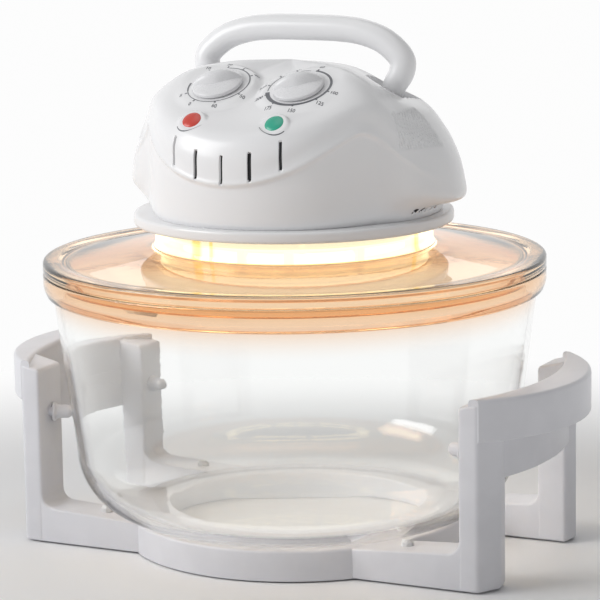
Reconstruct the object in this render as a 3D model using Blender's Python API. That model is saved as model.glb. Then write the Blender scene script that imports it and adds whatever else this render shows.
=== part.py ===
"""Countertop turbo convection oven: a glass bowl in a carrying stand, under a lift-off glass lid that
carries the powered head. Metres, +Z up, front at -Y, origin on the bowl's axis at the level of the feet."""

import math

import bmesh
import bpy
import numpy as np
from mathutils import Matrix, Vector

# Gaps and tool sizes
GAP = 0.0003
OVERRUN = 0.002
MERGE = 0.000001
WELD = 0.00002
TURN_STEPS = 40
SMALL_STEPS = 10
SCREW_STEPS = 8
SHARP_ANGLE = math.radians(32)

# Feet and base ring
FOOT_HEIGHT = 0.001
FOOT_RECESS = 0.0015
FOOT_RADIUS = 0.007
RING_LEDGE = 0.014
RING_REACH = 0.012
RING_TOP_Z = 0.021
RING_WALL = 0.003
RING_CHAMFER = 0.0015

# Handle frames: arms and posts
GRIP_CLEARANCE = 0.0115
POST_INSET = 0.0265
POST_SPREAD_SHARE = 0.725
POST_DEPTH = 0.0292
POST_BULGE = 0.0225
POST_BULGE_SETBACK = 0.0152
POST_BACK = 0.0200
POST_TOP_SLOPE = 0.0055
FOOT_INSET = 0.0090
ARM_POST_Z = 0.0245
ARM_RING_Z = 0.0205
ARM_FILLET = 0.008
FILLET_STEPS = 3

# Handle frames: bowed grip
GRIP_TOP_Z = 0.1235
GRIP_BAND_HEIGHT = 0.027
GRIP_DEPTH = 0.0235
GRIP_END_DEPTH = 0.0132
GRIP_WALL = 0.0035
GRIP_ROOF = 0.005
GRIP_HOLLOW_SHARE = 0.61
APRON_WALL = 0.0035
APRON_BOTTOM_Z = 0.070
APRON_RISE = 0.014
ARC_STEPS = 14

# Frame screws, from inside the ring's outer wall into the arms
FRAME_SCREW_INSET = 0.0192
FRAME_SCREW_Z = 0.0115
SCREW_HEAD_RADIUS = 0.0032
SCREW_HEAD_HEIGHT = 0.0022
SCREW_SHANK_RADIUS = 0.0016
FRAME_SCREW_LENGTH = 0.012

# Bowl steadies
PEG_RADIUS = 0.0045
PEG_Z = 0.087
PEG_ROOT_DEPTH = 0.003
PEG_COLLAR_START = 0.0045
PAD_RADIUS = 0.004
PAD_INSET = 0.003
PAD_RECESS = 0.003

# Glass bowl
BOWL_BOTTOM_Z = RING_TOP_Z + GAP
BOWL_FOOT_SHARE = 0.685
BOWL_TAPER = 0.0128
BOWL_SIDE_Z = 0.066
BOWL_NECK_RADIUS = 0.1588
BOWL_NECK_Z = 0.1689
BOWL_WALL = 0.005
RIM_FLARE = 0.0062
RIM_TOP_Z = 0.1845
RIM_LIP_Z = 0.176
RIM_EDGE = 0.001
BOWL_CORNER_STEPS = 5

# Glass lid
LID_EDGE_HEIGHT = 0.0079
LID_EDGE_ROUND = 0.0018
LID_EDGE_WIDTH = 0.009
LID_DIP = 0.0015
LID_GLASS = 0.0042
LID_SKIRT_DEPTH = 0.007
LID_SKIRT_WALL = 0.004
LID_SKIRT_SLACK = 0.0006
LID_SHOULDER_RADIUS = 0.099
LID_SHOULDER_RISE = 0.0055
COLLAR_RADIUS = 0.091
COLLAR_WALL = 0.004
COLLAR_FLANGE = 0.005
COLLAR_TOP_Z = 0.2132

# Seal and head base
SEAL_THICKNESS = 0.001
SEAL_WIDTH = 0.006
BASE_LEDGE = 0.0048
BASE_HEIGHT = 0.0075
BASE_EDGE = 0.0012
BASE_FLOOR = 0.0042
BASE_LAND_RADIUS = 0.072
BASE_HOLE_RADIUS = 0.020

# Heat plate, which clamps the lid's flange
PLATE_THICKNESS = 0.0012
PLATE_HOLE_RADIUS = 0.005
PLATE_SCREW_RADIUS = 0.077
PLATE_SCREW_COUNT = 3
PLATE_SCREW_TURN = math.radians(30)
PLATE_SCREW_GRIP = 0.0045

# Lamp
LAMP_RING_RADIUS = 0.068
LAMP_TUBE_RADIUS = 0.0045
LAMP_DROP = 0.0085
LAMP_BLOCK_SLACK = 0.0009
LAMP_GAP_ANGLE = math.radians(16)
LAMP_STEPS = 30
LAMP_SIDES = 8
CLIP_RADIAL = 0.015
CLIP_WIDTH = 0.005
CLIP_CHIN = 0.0022

# Lamp guard
GUARD_DROP = 0.0098
GUARD_RIM_HEIGHT = 0.009
GUARD_METAL = 0.0012
GUARD_SHELF = 0.007
GUARD_HUB_RADIUS = 0.016
GUARD_SPOKE_WIDTH = 0.003
GUARD_SPOKES = 12
GUARD_LEG_WIDTH = 0.006
GUARD_LEG_ANGLES = (-0.62, 0.42, 3.14)

# Motor, shaft and fans
SHAFT_RADIUS = 0.003
SHAFT_ABOVE_MOTOR = 0.006
MOTOR_RADIUS = 0.023
MOTOR_HEIGHT = 0.026
MOTOR_EDGE = 0.002
BRACKET_REACH = 0.046
BRACKET_WIDTH = 0.018
BRACKET_METAL = 0.0015
BRACKET_HEIGHT = 0.0145
BRACKET_FOOT = 0.008
BRACKET_HOLE_RADIUS = 0.006
HUB_RADIUS = 0.0085
HUB_HEIGHT = 0.007
BLADE_COUNT = 6
BLADE_METAL = 0.0012
BLADE_HEIGHT = 0.0075
BLADE_PITCH = math.radians(38)
HOT_FAN_RADIUS = 0.050
HOT_FAN_DROP = 0.0105
COOL_FAN_RADIUS = 0.041
COOL_FAN_LIFT = 0.003

# Head covers
COVER_BOTTOM_Z = 0.2224
COVER_HEIGHT = 0.0976
COVER_RADIUS = 0.100
COVER_WALL = 0.003
COVER_COLUMNS = 40
COVER_ROWS_PER_STATION = 2
LINING_ROWS_PER_STATION = 1
COVER_SPLIT_Y = 0.050
CREASE_DEPTH = 0.0016
CREASE_WIDTH = 0.005
COVER_SCREW_INSET = 0.014
COVER_WEB_REACH = 0.0093
COVER_SCREW_ANGLES = (0.60, -0.60, 2.66, -2.66)
COVER_BOSS_RADIUS = 0.0042
COVER_BOSS_HEIGHT = 0.014

# The covers' outline: at each azimuth from the front, ten stations from the hem to the crown, each as
# shares of COVER_RADIUS and of the covers' height
COVER_AZIMUTHS = (0.0, 30.0, 60.0, 75.0, 90.0, 118.0, 150.0, 180.0)
COVER_RADIUS_SHARES = (
    (0.985, 1.010, 1.015, 1.013, 1.005, 0.960, 0.860, 0.633, 0.340, 0.0),
    (0.975, 0.995, 1.000, 1.000, 0.993, 0.950, 0.850, 0.633, 0.340, 0.0),
    (0.925, 0.945, 0.948, 0.948, 0.945, 0.935, 0.885, 0.670, 0.380, 0.0),
    (0.960, 0.985, 1.020, 1.020, 0.995, 0.955, 0.875, 0.670, 0.380, 0.0),
    (0.970, 1.000, 1.115, 1.112, 1.070, 0.995, 0.875, 0.660, 0.380, 0.0),
    (0.970, 1.000, 1.100, 1.093, 1.055, 0.985, 0.860, 0.640, 0.380, 0.0),
    (0.970, 0.995, 1.020, 1.020, 0.990, 0.930, 0.830, 0.620, 0.340, 0.0),
    (0.970, 0.995, 1.005, 1.000, 0.975, 0.920, 0.820, 0.610, 0.330, 0.0),
)
COVER_HEIGHT_SHARES = (
    (0.0, 0.047, 0.180, 0.344, 0.477, 0.588, 0.658, 0.760, 0.892, 1.0),
    (0.0, 0.047, 0.180, 0.354, 0.520, 0.638, 0.717, 0.797, 0.908, 1.0),
    (0.0, 0.047, 0.201, 0.365, 0.529, 0.652, 0.785, 0.934, 0.990, 1.0),
    (0.0, 0.047, 0.160, 0.283, 0.426, 0.570, 0.713, 0.888, 0.980, 1.0),
    (0.0, 0.068, 0.114, 0.252, 0.406, 0.565, 0.703, 0.826, 0.960, 1.0),
    (0.0, 0.068, 0.109, 0.242, 0.396, 0.549, 0.703, 0.816, 0.950, 1.0),
    (0.0, 0.047, 0.160, 0.303, 0.457, 0.590, 0.698, 0.816, 0.939, 1.0),
    (0.0, 0.047, 0.180, 0.324, 0.467, 0.590, 0.693, 0.816, 0.939, 1.0),
)
CREASE_AZIMUTHS = (0.0, 12.5, 25.0, 35.0, 45.0, 54.0, 63.0, 70.0, 78.0, 95.0, 180.0)
CREASE_HEIGHT_SHARES = (0.278, 0.301, 0.368, 0.452, 0.539, 0.590, 0.519, 0.406, 0.298, 0.15, 0.15)
CREASE_DEPTH_SHARES = (1.0, 1.0, 1.0, 1.0, 1.0, 1.0, 0.8, 0.5, 0.2, 0.0, 0.0)

# Openings in the covers
SLOT_WIDTH = 0.0018
SLOT_LENGTH = 0.0175
SLOT_AZIMUTHS = (-22.0, -10.8, 0.0, 10.8, 22.0)
SLOT_TOP_Z = (0.2785, 0.2715, 0.2689, 0.2715, 0.2785)
VENT_SIZE = 0.003
VENT_Z = 0.2281
VENT_AZIMUTHS = (77.0, 81.2, 85.4, 89.6, 93.8)
TOP_VENT_WIDTH = 0.0022
TOP_VENT_LENGTH = 0.016
TOP_VENT_PITCH = 0.007
TOP_VENT_COUNT = 7
TOP_VENT_Y = 0.064

# Knobs
KNOB_X = 0.0287
KNOB_Y = -0.0470
KNOB_TILT = math.radians(25.7)
KNOB_RADIUS = 0.0165
KNOB_SKIRT = 0.0032
KNOB_CROWN = 0.0052
KNOB_GRIP_HEIGHT = 0.0115
KNOB_GRIP_WIDTH = 0.0105
KNOB_GRIP_TOP_SHARE = 0.45
KNOB_BORE_DEPTH = 0.005
KNOB_SHAFT_RADIUS = 0.0028
BUSH_RADIUS = 0.0048
CONTROL_SIZE = 0.026
CONTROL_DEPTH = 0.018
CONTROL_DROP = 0.0075
TIMER_REST_ANGLE = math.radians(-65)
THERMOSTAT_REST_ANGLE = math.radians(-62)

# Pilot lamp lenses
LENS_X = 0.0290
LENS_Y = -0.0835
LENS_TILT = math.radians(42)
LENS_RADIUS = 0.0066
LENS_PROUD = 0.0016
LENS_BODY_DEPTH = 0.0105
LENS_FLANGE = 0.0016
LENS_FLANGE_DROP = 0.0062

# Arch handle
PIVOT_X = 0.0640
PIVOT_Y = 0.014
PIVOT_Z = 0.2885
HANDLE_LEAN = math.radians(7.5)
HANDLE_TUBE_RADIUS = 0.0085
HANDLE_TOP_Z = 0.3475
HANDLE_SPREAD = 0.0735
HANDLE_SIDES = 10
HANDLE_PATH_SPREAD_SHARES = (0.876, 0.892, 0.932, 0.980, 1.0, 0.958, 0.865, 0.705, 0.485, 0.25, 0.0)
HANDLE_PATH_HEIGHT_SHARES = (0.10, 0.19, 0.31, 0.45, 0.60, 0.74, 0.875, 0.960, 0.992, 1.0, 1.0)
HANDLE_PATH_RADIUS_SHARES = (0.70, 0.74, 0.84, 0.95, 1.0, 1.0, 1.0, 1.0, 1.0, 1.0, 1.0)
EYE_RADIUS = 0.0085
EYE_WIDTH = 0.013
HEEL_REACH = 0.0113
HEEL_RADIUS = 0.003
HANDLE_FOLD = math.radians(48)
PIN_RADIUS = 0.0022
POCKET_HALF_WIDTH = 0.0122
POCKET_WALL = 0.003
POCKET_FRONT_Y = 0.0035
POCKET_REAR_Y = 0.041
POCKET_FLOOR_Y = 0.025
POCKET_FLOOR_Z = 0.2768
POCKET_REAR_Z = 0.290

# Handle switch
PLUNGER_RADIUS = 0.0016
PLUNGER_LENGTH = 0.0145
PLUNGER_TRAVEL = 0.0034
SWITCH_WIDTH = 0.009
SWITCH_LENGTH = 0.018
SWITCH_HEIGHT = 0.014

# Mains inlet at the rear
INLET_WIDTH = 0.027
INLET_HEIGHT = 0.019
INLET_DEPTH = 0.016
INLET_Z = 0.2450
INLET_PROUD = 0.0008
INLET_WALL = 0.002
INLET_POCKET = 0.012
INLET_PIN_RADIUS = 0.0014
INLET_PIN_PITCH = 0.0075
INLET_PIN_LENGTH = 0.009
INLET_FLANGE = 0.003
INLET_FLANGE_METAL = 0.002
INLET_FLANGE_SETBACK = 0.0072

# Radii and places that follow from the bowl's neck
RIM_RADIUS = BOWL_NECK_RADIUS + RIM_FLARE
BOWL_SIDE_RADIUS = BOWL_NECK_RADIUS - BOWL_TAPER
BOWL_FOOT_RADIUS = BOWL_SIDE_RADIUS * BOWL_FOOT_SHARE
RING_OUTER_RADIUS = BOWL_FOOT_RADIUS + RING_REACH
RING_INNER_RADIUS = BOWL_FOOT_RADIUS - RING_LEDGE
POST_OUTER_Y = RING_OUTER_RADIUS * POST_SPREAD_SHARE
POST_BULGE_Y = POST_OUTER_Y - POST_BULGE_SETBACK
FRAME_SCREW_Y = POST_OUTER_Y - FRAME_SCREW_INSET
PAD_X = RING_OUTER_RADIUS - PAD_INSET
PAD_Y = POST_OUTER_Y - POST_BULGE_SETBACK
BASE_RADIUS = COVER_RADIUS + BASE_LEDGE
COVER_SCREW_RADIUS = COVER_RADIUS - COVER_SCREW_INSET
GRIP_INNER_RADIUS = RIM_RADIUS + GRIP_CLEARANCE
GRIP_REACH_X = GRIP_INNER_RADIUS + GRIP_DEPTH
POST_INNER_X = GRIP_INNER_RADIUS - POST_INSET
POST_BULGE_X = POST_INNER_X + POST_BULGE
POST_BACK_X = POST_INNER_X + POST_BACK
FOOT_X = POST_INNER_X + FOOT_INSET
GRIP_END_X = POST_INNER_X + GRIP_END_DEPTH

# Heights that follow from the sizes above
LID_SEAT_Z = RIM_TOP_Z + GAP
LID_TOP_Z = LID_SEAT_Z + LID_EDGE_HEIGHT
BASE_BOTTOM_Z = COLLAR_TOP_Z + SEAL_THICKNESS + 2 * GAP
BASE_TOP_Z = BASE_BOTTOM_Z + BASE_HEIGHT
FLANGE_BOTTOM_Z = COLLAR_TOP_Z - LID_GLASS
PLATE_TOP_Z = FLANGE_BOTTOM_Z - GAP
PLATE_BOTTOM_Z = PLATE_TOP_Z - PLATE_THICKNESS
LAMP_Z = PLATE_BOTTOM_Z - LAMP_DROP
GUARD_TOP_Z = PLATE_BOTTOM_Z - GUARD_DROP
GUARD_RADIUS = COLLAR_RADIUS - COLLAR_WALL - 3 * GAP
BRACKET_TOP_Z = BASE_TOP_Z + GAP + BRACKET_HEIGHT
MOTOR_BOTTOM_Z = BRACKET_TOP_Z + GAP
MOTOR_TOP_Z = MOTOR_BOTTOM_Z + MOTOR_HEIGHT
COVER_TOP_Z = COVER_BOTTOM_Z + COVER_HEIGHT
ARM_BOTTOM_Z = FOOT_HEIGHT
KNOB_NORMAL = Vector((0.0, -math.sin(KNOB_TILT), math.cos(KNOB_TILT)))
LENS_NORMAL = Vector((0.0, -math.sin(LENS_TILT), math.cos(LENS_TILT)))


def clear_scene():
    """Remove every object that the file already holds."""
    for old in list(bpy.data.objects):
        bpy.data.objects.remove(old, do_unlink=True)


def finish(name, color, roughness, metallic=0.0, alpha=1.0, glow=0.0):
    """Return a Principled material for one sub-part."""
    mat = bpy.data.materials.new(name)
    mat.use_nodes = True
    shader = mat.node_tree.nodes["Principled BSDF"]
    shader.inputs["Base Color"].default_value = (*color, 1.0)
    shader.inputs["Roughness"].default_value = roughness
    shader.inputs["Metallic"].default_value = metallic
    shader.inputs["Alpha"].default_value = alpha
    if glow:
        shader.inputs["Emission Color"].default_value = (*color, 1.0)
        shader.inputs["Emission Strength"].default_value = glow
    return mat


def white_plastic(name):
    """Glossy white moulded plastic."""
    return finish(name + "_white", (0.86, 0.86, 0.87), 0.25)


def clear_glass(name):
    """Clear oven glass."""
    return finish(name + "_glass", (0.93, 0.95, 0.94), 0.03, alpha=0.3)


def steel(name):
    """Bright sheet steel."""
    return finish(name + "_steel", (0.72, 0.71, 0.69), 0.28, metallic=1.0)


def add_object(name, bm, mat, parent=None):
    """Make an object from a bmesh, shaded smooth with its corners kept sharp."""
    bmesh.ops.remove_doubles(bm, verts=bm.verts, dist=MERGE)
    bmesh.ops.recalc_face_normals(bm, faces=bm.faces)
    mesh = bpy.data.meshes.new(name)
    bm.to_mesh(mesh)
    bm.free()
    mesh.shade_smooth()
    mesh.set_sharp_from_angle(angle=SHARP_ANGLE)
    if mat:
        mesh.materials.append(mat)
    obj = bpy.data.objects.new(name, mesh)
    bpy.context.scene.collection.objects.link(obj)
    obj.parent = parent
    return obj


def add_empty(name, location, parent=None):
    """Make an empty that marks a joint axis or carries a sub-assembly."""
    empty = bpy.data.objects.new(name, None)
    empty.location = location
    empty.parent = parent
    bpy.context.scene.collection.objects.link(empty)
    return empty


def place(bm, matrix):
    """Move everything in a bmesh by a matrix."""
    bmesh.ops.transform(bm, matrix=matrix, verts=bm.verts)
    return bm


def turned(profile, steps=TURN_STEPS):
    """Turn a closed outline of (radius, height) points about Z."""
    bm = bmesh.new()
    verts = [bm.verts.new((radius, 0.0, height)) for radius, height in profile]
    edges = []
    for first, second in zip(verts, verts[1:] + verts[:1]):
        if first.co.x > MERGE or second.co.x > MERGE:
            edges.append(bm.edges.new((first, second)))
    bmesh.ops.spin(bm, geom=verts + edges, cent=(0, 0, 0), axis=(0, 0, 1), angle=2 * math.pi, steps=steps,
                   use_merge=True)
    bmesh.ops.remove_doubles(bm, verts=bm.verts, dist=MERGE)
    return bm


def prism(outline, low, high, plane="XY"):
    """Extrude a closed outline; plane says which two axes its points lie in."""
    bm = bmesh.new()
    if plane == "XY":
        verts = [bm.verts.new((a, b, low)) for a, b in outline]
        step = Vector((0.0, 0.0, high - low))
    elif plane == "XZ":
        verts = [bm.verts.new((a, low, b)) for a, b in outline]
        step = Vector((0.0, high - low, 0.0))
    else:
        verts = [bm.verts.new((low, a, b)) for a, b in outline]
        step = Vector((high - low, 0.0, 0.0))
    face = bm.faces.new(verts)
    grown = bmesh.ops.extrude_face_region(bm, geom=[face])
    moved = [item for item in grown["geom"] if isinstance(item, bmesh.types.BMVert)]
    bmesh.ops.translate(bm, vec=step, verts=moved)
    bmesh.ops.recalc_face_normals(bm, faces=bm.faces)
    return bm


def block(x_range, y_range, z_range):
    """A box between two corners."""
    (x0, x1), (y0, y1), (z0, z1) = x_range, y_range, z_range
    return prism([(x0, y0), (x1, y0), (x1, y1), (x0, y1)], z0, z1)


def rod(radius, low, high, steps=SMALL_STEPS):
    """A round bar along Z."""
    return turned([(0.0, low), (radius, low), (radius, high), (0.0, high)], steps)


def along(start, direction):
    """The matrix that stands Z along a direction at a start point."""
    turn = Vector(direction).to_track_quat("Z", "Y").to_matrix().to_4x4()
    return Matrix.Translation(start) @ turn


def tube(points, radii, sides, across):
    """A round tube along points that lie square to a direction, with flat ends."""
    bm = bmesh.new()
    rings = []
    for i, point in enumerate(points):
        ahead = points[min(i + 1, len(points) - 1)] - points[max(i - 1, 0)]
        side = ahead.normalized().cross(across)
        rings.append([bm.verts.new(point + (across * math.cos(a) + side * math.sin(a)) * radii[i])
                      for a in (2 * math.pi * k / sides for k in range(sides))])
    for lower, upper in zip(rings, rings[1:]):
        for k in range(sides):
            bm.faces.new((lower[k], lower[(k + 1) % sides], upper[(k + 1) % sides], upper[k]))
    bm.faces.new(rings[0])
    bm.faces.new(rings[-1][::-1])
    bmesh.ops.recalc_face_normals(bm, faces=bm.faces)
    return bm


def merged(*parts):
    """Put the geometry of several bmeshes into one."""
    whole = bmesh.new()
    for part in parts:
        temp = bpy.data.meshes.new("part")
        part.to_mesh(temp)
        part.free()
        whole.from_mesh(temp)
        bpy.data.meshes.remove(temp)
    return whole


def tool(name, bm, parent=None):
    """A hidden cutter or joining body."""
    obj = add_object(name, bm, None, parent)
    obj.hide_render = True
    obj.display_type = "WIRE"
    return obj


def combine(obj, bm, operation, name):
    """Join a body to an object, cut it away or keep what both share."""
    step = obj.modifiers.new(name, "BOOLEAN")
    step.operation = operation
    step.solver = "EXACT"
    step.object = tool(f"{obj.name}_{name}", bm, obj.parent)
    return step


def weld(obj):
    """Close the hairline seams that joined bodies leave."""
    step = obj.modifiers.new("weld", "WELD")
    step.merge_threshold = WELD


def soften(obj, width, segments=1):
    """Bevel an object's sharp edges."""
    bevel = obj.modifiers.new("soft_edges", "BEVEL")
    bevel.width = width
    bevel.segments = segments
    bevel.limit_method = "ANGLE"
    bevel.angle_limit = math.radians(50)


def arc(centre, radius, start, end, steps):
    """Points along a circle, both ends included."""
    return [(centre[0] + radius * math.cos(start + (end - start) * i / steps),
             centre[1] + radius * math.sin(start + (end - start) * i / steps)) for i in range(steps + 1)]


def hermite(keys, values, x):
    """A smooth curve through a table, level at both ends of the keys."""
    keys = np.asarray(keys)
    values = np.asarray(values)
    slopes = np.zeros_like(values)
    inner = (keys[2:] - keys[:-2]).reshape((-1,) + (1,) * (values.ndim - 1))
    slopes[1:-1] = (values[2:] - values[:-2]) / inner
    i = np.clip(np.searchsorted(keys, x, side="right") - 1, 0, len(keys) - 2)
    span = keys[i + 1] - keys[i]
    u = (x - keys[i]) / span
    return ((2 * u**3 - 3 * u**2 + 1) * values[i] + (u**3 - 2 * u**2 + u) * span * slopes[i]
            + (3 * u**2 - 2 * u**3) * values[i + 1] + (u**3 - u**2) * span * slopes[i + 1])


def station_curve(values, t):
    """A smooth curve through a column of stations, with its ends' own slopes."""
    last = len(values) - 1
    i = min(int(t), last - 1)
    u = t - i
    before = values[max(i - 1, 0)]
    after = values[min(i + 2, last)]
    slope0 = (values[i + 1] - before) / (2 if i > 0 else 1)
    slope1 = (after - values[i]) / (2 if i + 1 < last else 1)
    return ((2 * u**3 - 3 * u**2 + 1) * values[i] + (u**3 - 2 * u**2 + u) * slope0
            + (3 * u**2 - 2 * u**3) * values[i + 1] + (u**3 - u**2) * slope1)


def cover_point(azimuth, t, inset=0.0):
    """The covers' outer surface at an azimuth (degrees from the front) and a station from hem to crown."""
    turn = abs((azimuth + 180.0) % 360.0 - 180.0)
    radii = hermite(COVER_AZIMUTHS, COVER_RADIUS_SHARES, turn)
    heights = hermite(COVER_AZIMUTHS, COVER_HEIGHT_SHARES, turn)
    radius = station_curve(radii, t) * COVER_RADIUS
    height = COVER_BOTTOM_Z + station_curve(heights, t) * COVER_HEIGHT
    crease = COVER_BOTTOM_Z + hermite(CREASE_AZIMUTHS, CREASE_HEIGHT_SHARES, turn) * COVER_HEIGHT
    depth = hermite(CREASE_AZIMUTHS, CREASE_DEPTH_SHARES, turn) * CREASE_DEPTH
    below = min(max((crease - height) / CREASE_WIDTH + 0.5, 0.0), 1.0)
    radius -= depth * below * below * (3 - 2 * below)
    if inset:
        radius = max(radius - inset, 0.0)
        height -= inset * min(1.0, max(t - 3.0, 0.0) / 4.0)
    angle = math.radians(azimuth)
    return Vector((radius * math.sin(angle), -radius * math.cos(angle), height))


def cover_height_at(x, y):
    """The height of the covers' top surface over a plan point."""
    azimuth = math.degrees(math.atan2(x, -y))
    radius = math.hypot(x, y)
    low, high = 4.0, 9.0
    for _ in range(40):
        middle = (low + high) / 2
        point = cover_point(azimuth, middle)
        if math.hypot(point.x, point.y) > radius:
            low = middle
        else:
            high = middle
    return cover_point(azimuth, low).z


def cover_rings(inset, per_station):
    """Rings of points from the hem to just below the crown, and the crown point."""
    last = len(COVER_RADIUS_SHARES[0]) - 1
    rings = []
    for row in range(last * per_station):
        t = row / per_station
        rings.append([cover_point(360.0 * column / COVER_COLUMNS, t, inset) for column in range(COVER_COLUMNS)])
    return rings, cover_point(0.0, float(last), inset)


def lofted(rings, crown, bm):
    """Skin rings of points up to a crown point and return the lowest ring's vertices."""
    rows = [[bm.verts.new(point) for point in ring] for ring in rings]
    top = bm.verts.new(crown)
    count = len(rows[0])
    for lower, upper in zip(rows, rows[1:]):
        for i in range(count):
            j = (i + 1) % count
            bm.faces.new((lower[i], lower[j], upper[j], upper[i]))
    for i in range(count):
        bm.faces.new((rows[-1][i], rows[-1][(i + 1) % count], top))
    return rows[0]


def cover_solid():
    """The space up to the middle of the covers' wall, closed at the hem."""
    bm = bmesh.new()
    hem = lofted(*cover_rings(COVER_WALL / 2, LINING_ROWS_PER_STATION), bm)
    bm.faces.new(hem[::-1])
    bmesh.ops.recalc_face_normals(bm, faces=bm.faces)
    return bm


def cover_shell():
    """The covers' wall before they are cut apart."""
    bm = bmesh.new()
    outer = lofted(*cover_rings(0.0, COVER_ROWS_PER_STATION), bm)
    inner = lofted(*cover_rings(COVER_WALL, LINING_ROWS_PER_STATION), bm)
    count = len(outer)
    for i in range(count):
        j = (i + 1) % count
        bm.faces.new((outer[i], outer[j], inner[j], inner[i]))
    return bm


def polar(radius, angle, z=0.0):
    """A point at a plan radius and an angle from the front."""
    return Vector((radius * math.sin(angle), -radius * math.cos(angle), z))


def screw_body(length, start, direction):
    """A pan-head screw: head outside the start point, shank beyond it."""
    profile = [(0.0, -SCREW_HEAD_HEIGHT), (SCREW_HEAD_RADIUS * 0.75, -SCREW_HEAD_HEIGHT),
               (SCREW_HEAD_RADIUS, -SCREW_HEAD_HEIGHT / 2), (SCREW_HEAD_RADIUS, 0.0),
               (SCREW_SHANK_RADIUS, 0.0), (SCREW_SHANK_RADIUS, length - SCREW_SHANK_RADIUS), (0.0, length)]
    return place(turned(profile, SCREW_STEPS), along(start, direction))


def screw_hole(length, start, direction, head_depth=0.0):
    """The clearance for a screw, with room for its head where it is sunk."""
    clear = SCREW_SHANK_RADIUS + GAP
    head = SCREW_HEAD_RADIUS + 2 * GAP
    low = -head_depth
    profile = [(0.0, low), (head, low), (head, GAP), (clear, GAP), (clear, length + GAP), (0.0, length + GAP)]
    if not head_depth:
        profile = [(0.0, -OVERRUN), (clear, -OVERRUN), (clear, length + GAP), (0.0, length + GAP)]
    return place(turned(profile, SCREW_STEPS), along(start, direction))


def frame_screw_seats():
    """Start points and directions of the four frame screws."""
    seats = []
    inside = RING_OUTER_RADIUS - RING_WALL - GAP
    x = math.sqrt(inside**2 - FRAME_SCREW_Y**2)
    for side_x in (1, -1):
        for side_y in (-1, 1):
            point = Vector((side_x * x, side_y * FRAME_SCREW_Y, FRAME_SCREW_Z))
            direction = Vector((side_x * x, side_y * FRAME_SCREW_Y, 0.0)).normalized()
            seats.append((point, direction))
    return seats


def build_ring():
    """Base ring: a channel open at the bottom."""
    low = ARM_BOTTOM_Z
    wall = RING_WALL
    profile = [(RING_INNER_RADIUS, low), (RING_INNER_RADIUS + wall, low),
               (RING_INNER_RADIUS + wall, RING_TOP_Z - wall), (RING_OUTER_RADIUS - wall, RING_TOP_Z - wall),
               (RING_OUTER_RADIUS - wall, low), (RING_OUTER_RADIUS, low),
               (RING_OUTER_RADIUS, RING_TOP_Z - RING_CHAMFER), (RING_OUTER_RADIUS - RING_CHAMFER, RING_TOP_Z),
               (RING_INNER_RADIUS + RING_CHAMFER, RING_TOP_Z), (RING_INNER_RADIUS, RING_TOP_Z - RING_CHAMFER)]
    ring = add_object("stand_ring", turned(profile), white_plastic("stand_ring"))
    holes = [screw_hole(RING_WALL + OVERRUN, point, direction) for point, direction in frame_screw_seats()]
    combine(ring, merged(*holes), "DIFFERENCE", "screw_holes")


def frame_post(side_y):
    """One post of the right-hand frame: five flat sides, and a top that falls towards the bowl."""
    back = POST_OUTER_Y - POST_DEPTH
    outline = [(POST_INNER_X, POST_OUTER_Y), (GRIP_END_X, POST_OUTER_Y), (POST_BULGE_X, POST_BULGE_Y),
               (POST_BACK_X, back), (POST_INNER_X, back)]
    post = prism([(x, side_y * y) for x, y in outline], ARM_BOTTOM_Z, GRIP_TOP_Z - GAP)
    for vert in post.verts:
        if vert.co.z > GRIP_TOP_Z / 2:
            vert.co.z -= POST_TOP_SLOPE * (POST_BULGE_X - vert.co.x) / (POST_BULGE_X - POST_INNER_X)
    bmesh.ops.recalc_face_normals(post, faces=post.faces)
    return post


def frame_arm(side_y):
    """The low arm from the ring to a post, with a rounded corner at the post."""
    start_x = math.sqrt(RING_OUTER_RADIUS**2 - POST_OUTER_Y**2) - OVERRUN
    corner = (POST_INNER_X - ARM_FILLET, ARM_POST_Z + ARM_FILLET)
    outline = [(start_x, ARM_BOTTOM_Z + GAP), (POST_INNER_X + OVERRUN, ARM_BOTTOM_Z + GAP),
               (POST_INNER_X + OVERRUN, ARM_POST_Z + ARM_FILLET)]
    outline += arc(corner, ARM_FILLET, 0.0, -math.pi / 2, FILLET_STEPS)
    outline += [(start_x, ARM_RING_Z)]
    low, high = sorted((side_y * (POST_OUTER_Y - GAP), side_y * (POST_OUTER_Y - POST_DEPTH + GAP)))
    return prism(outline, low, high, "XZ")


def grip_outline(outer_inset=0.0, inner_inset=0.0, reach_share=1.0):
    """Plan of the bowed grip: an outer arc through its ends and middle, an inner arc round the bowl."""
    half = POST_OUTER_Y * reach_share
    sag = GRIP_REACH_X - GRIP_END_X
    radius = (POST_OUTER_Y**2 + sag**2) / (2 * sag)
    centre = (GRIP_REACH_X - radius, 0.0)
    outer_radius = radius - outer_inset
    outer_angle = math.asin(half / outer_radius)
    inner_radius = GRIP_INNER_RADIUS + inner_inset
    inner_angle = math.asin(half / inner_radius)
    outline = arc(centre, outer_radius, -outer_angle, outer_angle, ARC_STEPS)
    outline += arc((0.0, 0.0), inner_radius, inner_angle, -inner_angle, ARC_STEPS)
    return outline


def apron_outline():
    """The apron under the grip's inner edge, as seen along X, with its lower corners rising."""
    half = POST_OUTER_Y - POST_DEPTH / 2
    rise = half - APRON_RISE
    outline = [(-half, GRIP_TOP_Z - GRIP_ROOF), (-half, APRON_BOTTOM_Z + APRON_RISE)]
    outline += arc((-rise, APRON_BOTTOM_Z + APRON_RISE), APRON_RISE, math.pi, 1.5 * math.pi, FILLET_STEPS)
    outline += arc((rise, APRON_BOTTOM_Z + APRON_RISE), APRON_RISE, 1.5 * math.pi, 2 * math.pi, FILLET_STEPS)
    outline += [(half, GRIP_TOP_Z - GRIP_ROOF)]
    return outline


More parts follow.
